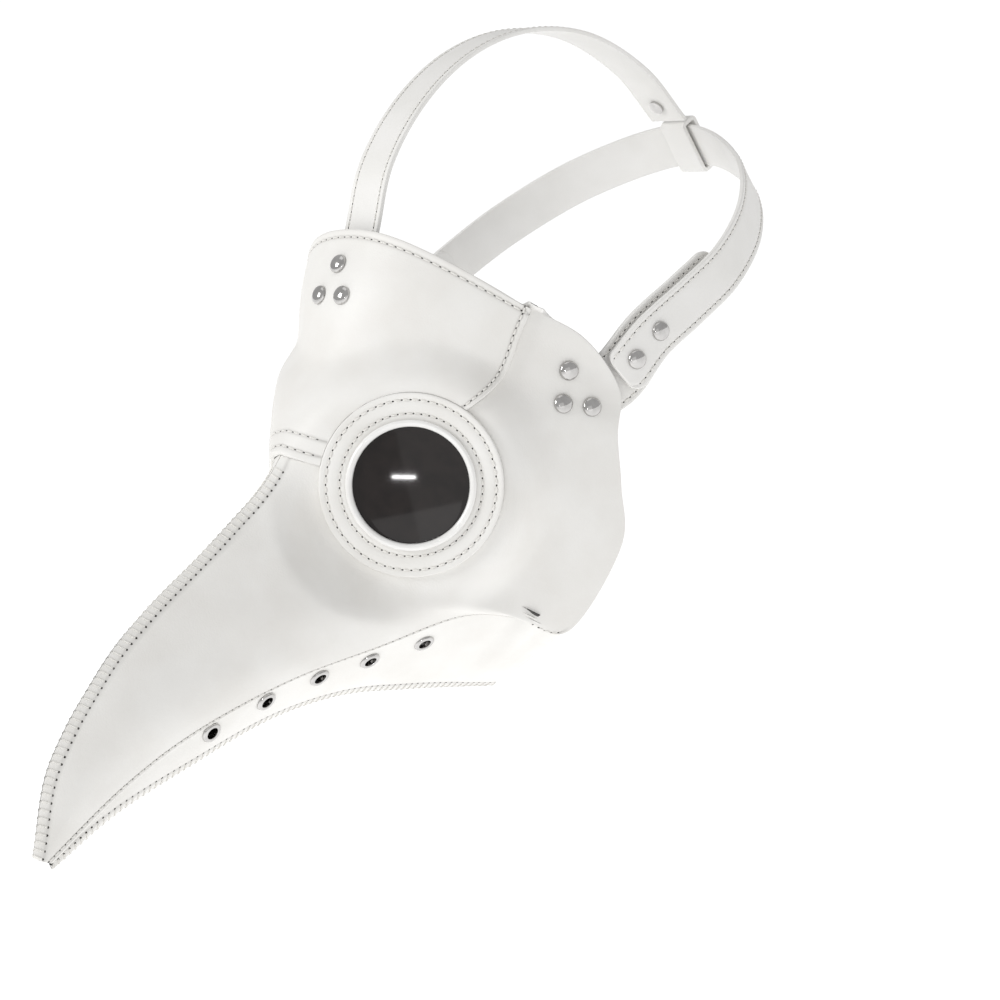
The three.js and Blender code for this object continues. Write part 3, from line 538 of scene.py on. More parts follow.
class Panel:
    """A grid over a panel's outer face, crowded along its edges. spot(u, v) gives the station and share of a
    point; u runs down and v across, both from 0 to 1. `gap` holds each point's distance from the four edges."""

    def __init__(self, spot, surface, down, across, first=0):
        self.surface, self.first = surface, first
        lines = []
        for u in SAMPLES:
            reach = reach_along(surface(*spot(np.full_like(SAMPLES, u), SAMPLES)))
            lines.append(np.interp(spaced(reach[-1], *across), reach, SAMPLES))
        lines = np.array(lines)
        stations, shares = [], []
        for column in lines.T:
            reach = reach_along(surface(*spot(SAMPLES, column)))
            u = np.interp(spaced(reach[-1], *down), reach, SAMPLES)
            station, share = spot(u, np.interp(u, SAMPLES, column))
            stations.append(station)
            shares.append(share)
        self.stations, self.shares = np.array(stations).T, np.array(shares).T
        flat = surface(self.stations, self.shares)
        down_reach = reach_along(flat.transpose(1, 0, 2)).T
        across_reach = reach_along(flat)
        self.gap = {
            "top": down_reach,
            "bottom": down_reach[-1:] - down_reach,
            "start": across_reach,
            "end": across_reach[:, -1:] - across_reach,
        }

    def skin(self, heights):
        return offset(self.surface, self.stations, self.shares, heights, self.first)


def roll_over(distance):
    """How far a rounded edge has dropped at a distance from it."""
    inside = np.clip(1 - distance / ROLL, 0, 1)
    return ROLL * (1 - np.sqrt(1 - inside**2))


def groove(distance, row, width=0.6):
    return np.exp(-(((distance - row) / width) ** 2))


def undulation(points):
    """The slight unevenness of soft leather, in millimetres."""
    x, y, z = (points[..., k] for k in range(3))
    return (0.22 * np.sin(x / 9.1 + 1.3) * np.sin(y / 11.3 + z / 17.0)
            + 0.16 * np.sin(z / 7.7 + 0.4) * np.sin(x / 13.7 - y / 8.9)
            + 0.08 * np.sin((x + y) / 4.1) * np.sin(z / 5.3 + 2.0))


def shell(builder, outer, inner, skin, lining, edge, seam):
    """A closed sheet between two grids of points."""
    rows, columns = outer.shape[:2]
    size = rows * columns
    walls = []
    for i in range(rows - 1):
        a, b = i * columns, (i + 1) * columns
        walls.append((a, a + size, b + size, b))
        a, b = a + columns - 1, b + columns - 1
        walls.append((a, b, b + size, a + size))
    for j in range(columns - 1):
        walls.append((j, j + 1, j + 1 + size, j + size))
        a = (rows - 1) * columns + j
        walls.append((a, a + size, a + 1 + size, a + 1))
    points = np.concatenate([outer.reshape(-1, 3), inner.reshape(-1, 3)])
    marks = np.concatenate([seam.reshape(-1), np.zeros(size)])
    builder.add(points, grid_faces(rows, columns), skin, marks)
    start = builder.count - 2 * size
    for material, faces in ((lining, grid_faces(rows, columns, size, flip=True)), (edge, walls)):
        if material not in builder.materials:
            builder.materials.append(material)
        builder.faces += [tuple(i + start for i in face) for face in faces]
        builder.slots += [builder.materials.index(material)] * len(faces)


def grid_normals(points):
    return unit(np.cross(np.gradient(points, axis=0), np.gradient(points, axis=1)))


def inside_line(panel, outer, edge, distance):
    """The points and normals of the outer face at a distance from one edge, one for each grid line to it."""
    gap, normals = panel.gap[edge], grid_normals(outer)
    if edge in ("top", "bottom"):
        gap, outer, normals = gap.T, outer.transpose(1, 0, 2), normals.transpose(1, 0, 2)
    points, directions = [], []
    for line_gap, line, line_normals in zip(gap, outer, normals):
        order = np.argsort(line_gap)
        at = min(distance, 0.45 * line_gap.max())
        points.append([np.interp(at, line_gap[order], line[order, k]) for k in range(3)])
        directions.append([np.interp(at, line_gap[order], line_normals[order, k]) for k in range(3)])
    return np.array(points), unit(np.array(directions))


# ---- sewing ----

THREAD_RADIUS = 0.34
WHIP_THREAD_RADIUS = 0.3
HOLE_RADIUS = 0.48
HOLE_RIM = ((1, -0.35), (1, 0.03), (0.55, 0.07))  # rings of the dark disc of painted shade at a needle hole: share of its radius, and height
STITCH_LIFT = np.array([-0.3, 0.12, 0.26, 0.3, 0.26, 0.12, -0.3])  # a stitch's path above the leather
WHIP_LIFT, WHIP_SINK = 0.28, -0.25
CLEAR_OF_RING = 0.9
RING_REACH = 25  # the ring hides what is this near its plane


def resampled(points, normals, pitch):
    reach = reach_along(points)
    count = max(2, round(reach[-1] / pitch))
    stops = np.linspace(0, reach[-1], count + 1)
    pick = lambda values: np.column_stack([np.interp(stops, reach, values[:, k]) for k in range(3)])
    return pick(points), unit(pick(normals))


def under_ring(point):
    """Whether the eye's leather ring covers a point, on either side."""
    from_eye = point * [np.sign(point[0]) or 1, 1, 1] - EYE_CENTRE
    height = from_eye @ eye_axis
    return abs(height) < RING_REACH and from_eye @ from_eye - height**2 < (RING_RADIUS + CLEAR_OF_RING) ** 2


# A dark disc of painted shade on the surface, where a needle hole is.
def add_hole_shade(builder, point, normal, toward):
    spot = frame_at(point, normal, toward)
    rows = [circle(HOLE_RADIUS * share, 8) + [0, 0, height] for share, height in HOLE_RIM]
    add_loft(builder, [placed(row, spot) for row in rows], HOLE_SHADE)


def add_thread(builder, path, normals, radius=THREAD_RADIUS):
    """A piece of thread along a path, thinner at its two ends, where it goes down into the leather."""
    tangents = unit(np.gradient(path, axis=0))
    sides = unit(np.cross(tangents, normals))
    ups = np.cross(sides, tangents)
    angles = np.linspace(0, 2 * math.pi, 6, endpoint=False)[None, :, None]
    taper = np.ones(len(path))
    taper[[0, -1]] = 0.55
    spread = radius * taper[:, None, None]
    rows = path[:, None] + spread * (np.cos(angles) * sides[:, None] + np.sin(angles) * ups[:, None])
    add_loft(builder, rows, THREAD)


def add_stitches(builder, points, normals, pitch, skip=under_ring):
    """A row of lockstitch along a line on a surface: a dark disc of painted shade for the needle hole at each
    step and a thread between them.
    """
    holes, ups = resampled(points, normals, pitch)
    shares = np.linspace(0.1, 0.9, len(STITCH_LIFT))
    for i in range(len(holes)):
        if skip and skip(holes[i]):
            continue
        toward = holes[min(i + 1, len(holes) - 1)] - holes[max(i - 1, 0)]
        add_hole_shade(builder, holes[i], ups[i], toward)
        if i + 1 == len(holes) or (skip and skip(holes[i + 1])):
            continue
        path = holes[i] + shares[:, None] * (holes[i + 1] - holes[i]) + STITCH_LIFT[:, None] * ups[i]
        add_thread(builder, path, np.tile(ups[i], (len(path), 1)))


def add_whip_stitches(builder, lines, pitch, slant=0.5):
    """Slanted stitches that cross an edge seam on the centre plane. lines: (points, normals) from the row of
    needle holes to the edge; each stitch runs up the left panel, over the seam and down the right one."""
    reach = reach_along(lines[0][0])
    count = max(2, round(reach[-1] / pitch))
    step = 1 / count
    row = np.interp(np.linspace(0, reach[-1], count + 1), reach, np.linspace(0, 1, len(reach)))
    flip = np.array([-1, 1, 1])
    last = 2 * len(lines) - 1

    def at_share(values, t):
        return np.array([np.interp(t, np.linspace(0, 1, len(values)), values[:, k]) for k in range(3)])

    for t in row:
        hole, up = (at_share(values, t) for values in lines[0])
        toward = at_share(lines[0][0], min(t + step, 1)) - at_share(lines[0][0], max(t - step, 0))
        add_hole_shade(builder, hole, up, toward)
        add_hole_shade(builder, hole * flip, up * flip, toward)
        path, ups = [], []
        for k in range(last + 1):
            line, side_flip = (k, 1) if k < len(lines) else (last - k, flip)
            point, direction = (at_share(values, min(1, t + slant * step * k / last)) for values in lines[line])
            lift = WHIP_LIFT if line else WHIP_SINK
            path.append((point + lift * direction) * side_flip)
            ups.append(direction * side_flip)
        add_thread(builder, np.array(path), unit(np.array(ups)), WHIP_THREAD_RADIUS)


# ---- the mask's panels ----

# The side panel's upper edge runs straight between these rows; each is joined to a station on the rim.
RIDGE_BY_JAW = JAW - 0.6
SIDE_BREAKS = [0, 6, 8, 11, 23]
SIDE_TOP_STATIONS = [TUCK_TEMPLE[0], TUCK_EYE[0], TUCK_BROW[0], RIDGE_BY_JAW, TIP]
SIDE_TOP_SHARES = [TUCK_TEMPLE[1], TUCK_EYE[1], 0, 0, 0]
SIDE_RIM_STATIONS = [0, 2.7, 3.6, JAW, TIP]
FOREHEAD_TOP = 2.2  # outer face of the forehead panel above the side panel's
FOREHEAD_ROWS = {"top": 3.5, "end": 2.6, "bottom": 3.5}
SECOND_BROW_ROW = 9.8
LOWER_SEAM_ROW = 2.2
RIDGE_HOLES = 4.6
KEEL_HOLES = 4.0
GROOVE_DEPTH = 0.32
WHIP_GROOVE_DEPTH = 0.2
TOP_PITCH, BROW_PITCH, SECOND_BROW_PITCH = 4.0, 3.7, 3.8
TEMPLE_PITCH, LOWER_SEAM_PITCH, WHIP_PITCH, STRAP_PITCH = 3.1, 3.0, 3.0, 3.3
WHIP_LINES = np.array([1, 0.72, 0.45, 0.2, 0.03])  # shares of the way from an edge to its needle holes
RING_CUT_PLAY = 0.15


def temple_seam(stations):
    rise = np.maximum(0, 1 - np.asarray(stations, float) / PANEL_CORNER[0]) ** TEMPLE_CURVE
    return PANEL_CORNER[1] + (1 - PANEL_CORNER[1]) * rise


def side_spot(u, v):
    row = np.asarray(u, float) * SIDE_BREAKS[-1]
    station = np.interp(row, SIDE_BREAKS, SIDE_TOP_STATIONS)
    share = np.interp(row, SIDE_BREAKS, SIDE_TOP_SHARES)
    rim = np.interp(row, SIDE_BREAKS, SIDE_RIM_STATIONS)
    return station + (rim - station) * v, share + (1 - share) * v


def forehead_spot(u, v):
    station = u * (BROW_STATION + (PANEL_CORNER[0] - BROW_STATION) * v)
    return station, v * temple_seam(u * PANEL_CORNER[0])


def bottom_spot(u, v):
    return JAW + (TIP - JAW) * np.asarray(u, float), v + np.zeros_like(u)


def tuck_depth(stations, shares):
    """How far the side panel sinks where the forehead panel covers it."""
    inside = np.minimum(temple_seam(stations) - shares, (BROW_STATION + shares - stations) * SHARE_PER_STATION)
    return TUCK_DEPTH * smoothstep(inside, -0.005, 0.05)


def clear_of_centre(points):
    points[..., 0] = np.maximum(points[..., 0], GAP / 2)
    return points


def build_side_panel():
    panel = Panel(side_spot, mask_point, (PLAIN_MARKS, 130, PLAIN_MARKS), (MARKS, 44, MARKS))
    gap = panel.gap
    tuck = tuck_depth(panel.stations, panel.shares)
    on_ridge = smoothstep(panel.stations[:, :1], 3.2, 3.6) * (panel.shares[:, :1] < 0.01)
    on_seam = smoothstep(panel.stations[:, -1:], JAW - 0.1, JAW + 0.1)
    soft = smoothstep(np.minimum(gap["start"], gap["end"]), 3, 14)
    height = -tuck - sum(roll_over(gap[key]) for key in ("start", "end", "top", "bottom"))
    height = height + soft * undulation(panel.surface(panel.stations, panel.shares))
    ridge_line = on_ridge * groove(gap["start"], RIDGE_HOLES, 0.8)
    seam_line = on_seam * groove(gap["end"], LOWER_SEAM_ROW)
    height = height - WHIP_GROOVE_DEPTH * ridge_line - GROOVE_DEPTH * seam_line
    height = height + 0.15 * on_seam * groove(gap["end"], 1.0, 0.5)
    outer = clear_of_centre(panel.skin(height))
    inner = clear_of_centre(panel.skin(-tuck - LEATHER))
    # The last grid is the painted shade along the stitch grooves, which darkens the leather's colour.
    return panel, outer, inner, 0.5 * ridge_line + 0.8 * seam_line


def build_forehead_panel():
    half = Panel(forehead_spot, forehead_point, (MARKS, 36, BROW_MARKS), ([0], 34, MARKS))
    gap = half.gap
    height = FOREHEAD_TOP - sum(roll_over(gap[key]) for key in FOREHEAD_ROWS)
    edge = np.minimum(np.minimum(gap["top"], gap["bottom"]), gap["end"])
    height = height + 0.7 * smoothstep(edge, 3, 14) * undulation(half.surface(half.stations, half.shares))
    lines = sum(groove(gap[key], row) for key, row in FOREHEAD_ROWS.items())
    lines = lines + groove(gap["bottom"], SECOND_BROW_ROW)
    height = height - GROOVE_DEPTH * lines
    for key in FOREHEAD_ROWS:
        height = height + 0.12 * groove(gap[key], 1.3, 0.7)
    # The last grid is the painted shade along the stitch grooves, which darkens the leather's colour.
    return half, half.skin(height), half.skin(np.full_like(height, GAP)), 0.8 * lines


def both_halves(grid):
    """A grid and its mirror image, joined along its first column, which is on the centre plane."""
    if grid.ndim == 2:
        return np.concatenate([grid[:, :0:-1], grid], axis=1)
    return np.concatenate([grid[:, :0:-1] * [-1, 1, 1], grid], axis=1)


def build_bottom_panel():
    panel = Panel(bottom_spot, bottom_point, (PLAIN_MARKS, 110, PLAIN_MARKS), ([0, 1.5, 3], 24, MARKS), JAW)
    gap = panel.gap
    height = -roll_over(gap["end"]) - roll_over(gap["top"])
    soft = 0.6 * smoothstep(np.minimum(gap["start"], gap["end"]), 3, 12)
    height = height + soft * undulation(panel.surface(panel.stations, panel.shares))
    keel_line = groove(gap["end"], KEEL_HOLES, 0.8)
    outer = panel.skin(height - WHIP_GROOVE_DEPTH * keel_line)
    inner = panel.skin(np.full_like(height, -LEATHER))
    # The seam grid is the painted shade along the keel's stitch grooves, which darkens the leather's colour.
    seam = 0.5 * keel_line
    stations = panel.stations[:, 0]
    chord = np.linalg.norm(along(RIDGE, stations) - along(RIM, stations), axis=1)
    skins = []
    for skin, lower in ((outer, 0), (inner, -LEATHER)):
        flange = []
        for part in (1.0, 0.6, 0.25):
            tuck = np.minimum(SEAM_TUCK / chord, 0.5) * part
            flange.append(offset(mask_point, stations, 1 - tuck, -LEATHER - TUCK_DEPTH + lower))
        skins.append(clear_of_centre(np.concatenate([np.stack(flange, axis=1), skin[:, 1:]], axis=1)))
    seam = np.concatenate([np.zeros((len(seam), 3)), seam[:, 1:]], axis=1)
    return panel, outer, skins, seam


side, side_outer, side_inner, side_seam = build_side_panel()
brow, brow_outer, brow_inner, brow_seam = build_forehead_panel()
base, base_outer, base_skins, base_seam = build_bottom_panel()

eye_spot = frame_at(EYE_CENTRE, eye_axis, (1, 1, 0))


def vent_spots():
    spots = []
    for station, share in VENTS:
        place = np.array([station]), np.array([share])
        normal = normals_of(bottom_point, *place, first=JAW)[0]
        spots.append(frame_at(bottom_point(*place)[0], normal, (0, -1, 0)))
    return spots


def mask_spot(station, share, surface=mask_point, height=0.0):
    place = np.array([float(station)]), np.array([float(abs(share))])
    normal = normals_of(surface, *place)[0]
    if share == 0:
        normal = unit(normal * [0, 1, 1])
    spot = frame_at(surface(*place)[0] + height * normal, normal, (1, 0, 0))
    return mirrored_spot(spot) if share < 0 else spot


vents = vent_spots()


def make_panels():
    builder = Builder()
    outer, inner, seam = (both_halves(grid) for grid in (brow_outer, brow_inner, brow_seam))
    shell(builder, outer, inner, PANEL, LINING, EDGE, seam)
    piece = builder.make("forehead_leather")
    ring_cut = (RING_RADIUS + RING_CUT_PLAY, -RING_REACH, RING_REACH)
    cut_away(piece, [(*ring_cut, eye_spot), (*ring_cut, mirrored_spot(eye_spot))])
    finish_piece(piece, "mask", "panel_leather", "forehead_panel")
    for side_name in SIDES:
        mirror = side_name == "right"
        turn = mirrored_spot if mirror else (lambda spot: spot)
        builder = Builder()
        shell(builder, side_outer, side_inner, PANEL, LINING, EDGE, side_seam)
        piece = builder.make(f"side_leather_{side_name}", mirror)
        cut_away(piece, [(EYE_HOLE_RADIUS, -12, 12, turn(eye_spot))])
        finish_piece(piece, "mask", "panel_leather", f"side_panel_{side_name}")
        builder = Builder()
        shell(builder, base_skins[0], base_skins[1], PANEL, LINING, EDGE, base_seam)
        piece = builder.make(f"bottom_leather_{side_name}", mirror)
        cut_away(piece, [(VENT_HOLE_RADIUS + VENT_WALL, -6, 6, turn(spot)) for spot in vents])
        finish_piece(piece, "mask", "panel_leather", f"bottom_panel_{side_name}")


def finish_piece(piece, body, slot, *nodes):
    if nodes:
        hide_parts(*nodes)
    if body:
        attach(piece, body)
    return piece


def whip_lines(panel, outer, edge, first_row, holes_at):
    """Lines along an edge on the centre plane, from the row of needle holes to the edge itself."""
    lines = []
    for distance in WHIP_LINES * holes_at:
        points, directions = inside_line(panel, outer, edge, distance)
        lines.append((points[first_row:-4], directions[first_row:-4]))
    return lines


def make_stitching():
    builder = Builder()
    for key, row, pitch in (
        ("top", FOREHEAD_ROWS["top"], TOP_PITCH),
        ("bottom", FOREHEAD_ROWS["bottom"], BROW_PITCH),
        ("bottom", SECOND_BROW_ROW, SECOND_BROW_PITCH),
    ):
        points, directions = inside_line(brow, brow_outer, key, row)
        points, directions = both_halves(points[None])[0], both_halves(directions[None])[0]
        add_stitches(builder, points, directions, pitch)
    finish_piece(builder.make("forehead_stitching"), "mask", "panel_leather")
    for side_name in SIDES:
        builder = Builder()
        add_stitches(builder, *inside_line(brow, brow_outer, "end", FOREHEAD_ROWS["end"]), TEMPLE_PITCH)
        points, directions = inside_line(side, side_outer, "end", LOWER_SEAM_ROW)
        lower = side.stations[:, -1] >= JAW
        add_stitches(builder, points[lower][:-3], directions[lower][:-3], LOWER_SEAM_PITCH)
        piece = builder.make(f"seam_stitching_{side_name}", side_name == "right")
        finish_piece(piece, "mask", "panel_leather")
    builder = Builder()
    first = int(np.argmax((side.stations[:, 0] > 3.62) & (side.shares[:, 0] < 0.01)))
    add_whip_stitches(builder, whip_lines(side, side_outer, "start", first, RIDGE_HOLES), WHIP_PITCH)
    finish_piece(builder.make("ridge_stitching"), "mask", "panel_leather")
    builder = Builder()
    add_whip_stitches(builder, whip_lines(base, base_outer, "end", 2, KEEL_HOLES), WHIP_PITCH)
    finish_piece(builder.make("keel_stitching"), "mask", "panel_leather")


# ---- eyes ----

RING_TOP_INNER = 2.45
RING_TOP_OUTER = 3.1
RING_ROWS = ((27.9, 3.1), (33.2, 3.5))  # radius of each stitch circle, and the pitch of its stitches
BEZEL_FOOT = GAP + LEATHER + GAP
BEZEL_TOP = BEZEL_FOOT + 2.4
BEZEL_LIP = 1.1
EYE_SEGMENTS = 160
CIRCLE_POINTS = 181
LENS_BACK = BEZEL_FOOT - GAP - LENS_THICKNESS


def ring_height(radius):
    part = (radius - EYE_HOLE_RADIUS) / (RING_RADIUS - EYE_HOLE_RADIUS)
    height = RING_TOP_INNER + (RING_TOP_OUTER - RING_TOP_INNER) * part
    height = height - roll_over(RING_RADIUS - radius) - roll_over(radius - EYE_HOLE_RADIUS)
    for row, _ in RING_ROWS:
        height = height - GROOVE_DEPTH * groove(radius, row, 0.7)
    return height + 0.25 * groove(radius, sum(row for row, _ in RING_ROWS) / 2, 1.8)


def make_eyes():
    edge_marks = np.array(PLAIN_MARKS[:5])
    middle = np.arange(EYE_HOLE_RADIUS + 1.4, RING_RADIUS - 1.2, 0.35)
    radii = np.unique(np.concatenate([EYE_HOLE_RADIUS + edge_marks, middle, RING_RADIUS - edge_marks]))
    top = [(r, float(ring_height(np.array(r)))) for r in radii]
    ring_profile = [(EYE_HOLE_RADIUS, GAP), (RING_RADIUS, GAP)] + top[::-1]
    bezel_outer = BARREL_RADIUS + BEZEL_LIP
    bezel = [(LENS_RADIUS + GAP, -LEATHER), (BARREL_RADIUS, -LEATHER), (BARREL_RADIUS, BEZEL_FOOT),
             (bezel_outer, BEZEL_FOOT), (bezel_outer + 0.1, BEZEL_TOP - 0.7), (BARREL_RADIUS, BEZEL_TOP + 0.2),
             (LENS_VIEW_RADIUS + 0.2, BEZEL_TOP - 0.6), (LENS_VIEW_RADIUS, BEZEL_FOOT),
             (LENS_RADIUS + GAP, BEZEL_FOOT)]
    arc = np.linspace(1, 0, 14)
    lens_edge = LENS_BACK + LENS_THICKNESS
    lens = [(0, LENS_BACK), (LENS_RADIUS, LENS_BACK), (LENS_RADIUS, lens_edge)]
    lens += [((LENS_VIEW_RADIUS - GAP) * t, lens_edge + LENS_DOME * (1 - t * t)) for t in arc]
    clamp_top = -LEATHER - GAP
    clamp_bottom = clamp_top - CLAMP_THICKNESS
    clamp_inner = LENS_VIEW_RADIUS - CLAMP_LIP
    clamp = [(clamp_inner, clamp_bottom), (CLAMP_RADIUS, clamp_bottom), (CLAMP_RADIUS, clamp_top),
             (LENS_RADIUS, clamp_top), (LENS_RADIUS, LENS_BACK - GAP), (clamp_inner, LENS_BACK - GAP)]
    for side_name in SIDES:
        mirror = side_name == "right"
        for name, node, profile, material, slot in (
            ("ring_leather", "eye_ring", ring_profile, PANEL, "panel_leather"),
            ("eye_rim", "eye_bezel", rounded_profile(bezel, 0.7, 5), RIM_WHITE, "eye_rim"),
            ("lens_dome", "lens", lens, LENS, "dark_lens"),
            ("clamp_ring", "eye_clamp", rounded_profile(clamp), RIM_WHITE, "eye_rim"),
        ):
            builder = Builder()
            add_turned(builder, profile, eye_spot, material, EYE_SEGMENTS)
            piece = weld(builder.make(f"{name}_{side_name}", mirror))
            finish_piece(piece, "mask", slot, f"{node}_{side_name}")
        builder = Builder()
        for radius, pitch in RING_ROWS:
            line = circle(radius, CIRCLE_POINTS - 1) + [0, 0, float(ring_height(np.array(radius)))]
            line = placed(np.vstack([line, line[:1]]), eye_spot)
            add_stitches(builder, line, np.tile(eye_spot[3], (CIRCLE_POINTS, 1)), pitch, skip=None)
        finish_piece(builder.make(f"ring_stitching_{side_name}", mirror), "mask", "panel_leather")


# ---- rivets, vents and snaps ----


def dome(radius, height, base, steps=10):
    angles = np.linspace(0, math.pi / 2, steps)[:-1]
    return [(radius * math.cos(a), base + height * math.sin(a)) for a in angles] + [(0, base + height)]


def rivet_profile(depth):
    burr_top = -depth - GAP
    stem = [(0, burr_top - BURR_THICKNESS), (BURR_RADIUS, burr_top - BURR_THICKNESS), (BURR_RADIUS, burr_top),
            (SHANK_RADIUS, burr_top), (SHANK_RADIUS, GAP), (RIVET_RADIUS - 0.5, GAP - 0.15)]
    return stem + dome(RIVET_RADIUS, RIVET_DOME, GAP + 0.1)


def add_hardware(name, node, spot, profile, body, both=True):
    """A turned nickel piece, or one on each side, where {side} in the names becomes left and right."""
    for side_name in SIDES if both else ("",):
        builder = Builder()
        add_turned(builder, profile, mirrored_spot(spot) if side_name == "right" else spot, NICKEL)
        piece = weld(builder.make(name.format(side=side_name)))
        finish_piece(piece, body.format(side=side_name), "nickel", node.format(side=side_name))


def make_hardware():
    profile = rivet_profile(LEATHER + GAP + TOP_DEPTH + LEATHER + BURR_PLAY)
    for i, (station, share) in enumerate(FOREHEAD_RIVETS, 1):
        spot = mask_spot(station, share, forehead_point, FOREHEAD_TOP)
        add_hardware(f"forehead_stud_{i}", f"forehead_rivet_{i}", spot, profile, "mask", False)
    profile = rivet_profile(TAB_DEPTH + LEATHER + BURR_PLAY)
    for i, place in enumerate(TEMPLE_RIVETS, 1):
        spot = mask_spot(*place)
        add_hardware(f"temple_stud_{{side}}_{i}", f"temple_rivet_{{side}}_{i}", spot, profile, "mask")
    back = -LEATHER - GAP
    hole, wall = VENT_HOLE_RADIUS, VENT_HOLE_RADIUS + VENT_WALL
    crest = VENT_FLANGE_RADIUS - VENT_SLOPE
    vent = rounded_profile([
        (hole, back - VENT_FLANGE), (crest, back - VENT_FLANGE), (crest, back), (wall, back), (wall, GAP / 2),
        (VENT_FLANGE_RADIUS, GAP / 3), (crest, GAP + VENT_FLANGE), (hole, GAP + VENT_FLANGE)], 0.35)
    for i, spot in enumerate(vents, 1):
        add_hardware(f"eyelet_{{side}}_{i}", f"vent_{{side}}_{i}", spot, vent, "mask")


# ---- harness ----


def centripetal(points, steps=200):
    """A centripetal Catmull-Rom curve through points, as a dense line."""
    points = np.array(points, float)
    points = np.vstack([2 * points[0] - points[1], points, 2 * points[-1] - points[-2]])
    line = []
    t = np.linspace(0, 1, steps, endpoint=False)[:, None]
    for a, b, c, d in zip(points, points[1:], points[2:], points[3:]):
        first, middle, last = (math.sqrt(np.linalg.norm(q - p)) for p, q in ((a, b), (b, c), (c, d)))
        start = ((b - a) / first - (c - a) / (first + middle) + (c - b) / middle) * middle
        end = ((c - b) / middle - (d - b) / (middle + last) + (d - c) / last) * middle
        square = 3 * (c - b) - 2 * start - end
        cube = 2 * (b - c) + start + end
        line.append(b + start * t + square * t**2 + cube * t**3)
    line.append(points[-2:-1])
    return np.vstack(line)


tab_root = [offset(mask_point, station, share, -TAB_DEPTH) for station, share in TAB_ROOT]
left_path = [*tab_root, *np.array(SIDE_PATH, float)]
side_curve = centripetal(left_path + [point * [-1, 1, 1] for point in left_path[-2::-1]])
top_root = [offset(mask_point, station, 0, -TOP_DEPTH) for station in TOP_ROOT]
top_curve = centripetal([*top_root, *np.array(TOP_PATH, float)])
side_reach, top_reach = reach_along(side_curve), reach_along(top_curve)
side_length, top_length = side_reach[-1], top_reach[-1]

rim_distance = np.linalg.norm(tab_root[1] - tab_root[0]) + np.linalg.norm(tab_root[2] - tab_root[1])
strap_front = rim_distance + STRAP_FROM_RIM
tab_end = rim_distance + TAB_REACH
peel_at = tab_end + PEEL_FROM_TAB
tab_panel_normal = normals_of(mask_point, np.array([TAB_ROOT[1][0]]), np.array([TAB_ROOT[1][1]]))[0]


def harness_spot(curve, reach, distance):
    """(origin, x, y, z) of a harness curve: X along the strap, Y across it, Z away from the head. Near the
    side panel the tab lies flat against the panel instead of the head."""

    def at(stop):
        return np.array([np.interp(stop, reach, curve[:, k]) for k in range(3)])

    point = at(distance)
    tangent = unit(at(min(distance + 0.5, reach[-1])) - at(max(distance - 0.5, 0)))
    normal = unit((point - HEAD_CENTRE) / HEAD_HALF_SIZE**2)
    if curve is side_curve:
        from_end = min(distance, side_length - distance)
        panel = tab_panel_normal * [-1, 1, 1] if distance > side_length / 2 else tab_panel_normal
        weight = 1 - float(smoothstep(from_end, rim_distance * PANEL_HOLD, rim_distance + HEAD_REACH))
        normal = unit(normal + (panel - normal) * weight)
    return frame_at(point, normal, tangent)



def side_spot_at(distance):
    return harness_spot(side_curve, side_reach, distance)


def top_spot_at(distance):
    return harness_spot(top_curve, top_reach, distance)


STRAP_ROW = 2.3  # stitches from a strap's edge
STRAP_GROOVE_DEPTH = 0.28
STRAP_MARKS = np.array([0, 0.12, 0.35, 0.7, 1.3, 1.8, 2.1, STRAP_ROW, 2.5, 2.8, 3.4, 5.0, 7.5])
UNDER_ROUND = ((0.15, 0.15), (0.6, 0))  # points of a strap's lower edge: in from the side, and up
ROUND_SHARES = (0.005, 0.02, 0.05, 0.1, 0.17, 0.27, 0.4, 0.55, 0.75)
END_STEPS = (0.15, 0.4, 0.8)
TAB_ROUNDS = (5, 8)  # corner radii of the tab's two ends
STRAP_ROUND = 5
strap_inner = GAP + STUD_FLANGE + GAP + SOCKET_HEIGHT + GAP
strap_outer = strap_inner + LEATHER


def strap_section(half, full, lift, drop):
    """The strap's section: rounded edges, and a groove along each row of stitches."""
    heights = lift - roll_over(STRAP_MARKS) - drop - STRAP_GROOVE_DEPTH * groove(STRAP_MARKS, STRAP_ROW, 0.5)
    across = (full - STRAP_MARKS) * half / full
    top = [*zip(-across, heights), *zip(across[::-1], heights[::-1])]
    edge = [(half - inward, lift - LEATHER + up) for inward, up in UNDER_ROUND]
    under = [*edge, (0, lift - LEATHER), *((-y, z) for y, z in reversed(edge))]
    return np.array(top + under)


def add_strap(builder, spot_at, start, end, width, lift, round_start=0.0, round_end=0.0):
    """A sewn strap along a harness curve, its outer face at the lift. Rounded ends are drawn by narrowing."""
    stops = list(np.linspace(start, end, max(8, int((end - start) / 2.5))))
    for edge, size, sign in ((start, round_start, 1), (end, round_end, -1)):
        if size:
            stops += [edge + sign * size * share for share in ROUND_SHARES]
        stops += [edge + sign * step for step in END_STEPS]
    full = width / 2
    rows = []
    for stop in sorted(set(stops)):
        half = full
        for gap, size in ((stop - start, round_start), (end - stop, round_end)):
            if size and gap < size:
                half -= size - math.sqrt(size**2 - (size - gap) ** 2)
        drop = sum(float(roll_over(np.array(gap))) for gap in (stop - start, end - stop))
        section = strap_section(half, full, lift, drop)
        rows.append(placed(np.column_stack([np.zeros(len(section)), section]), spot_at(stop)))
    add_loft(builder, rows, STRAP)
    inset = [max(size * 0.6, 2.5) for size in (round_start, round_end)]
    spots = [spot_at(stop) for stop in np.linspace(start + inset[0], end - inset[1], 80)]
    for sign in (-1, 1):
        local = np.array([0, sign * (full - STRAP_ROW), lift - STRAP_GROOVE_DEPTH])
        points = np.array([placed(local, spot) for spot in spots])
        add_stitches(builder, points, np.array([spot[3] for spot in spots]), STRAP_PITCH, skip=None)


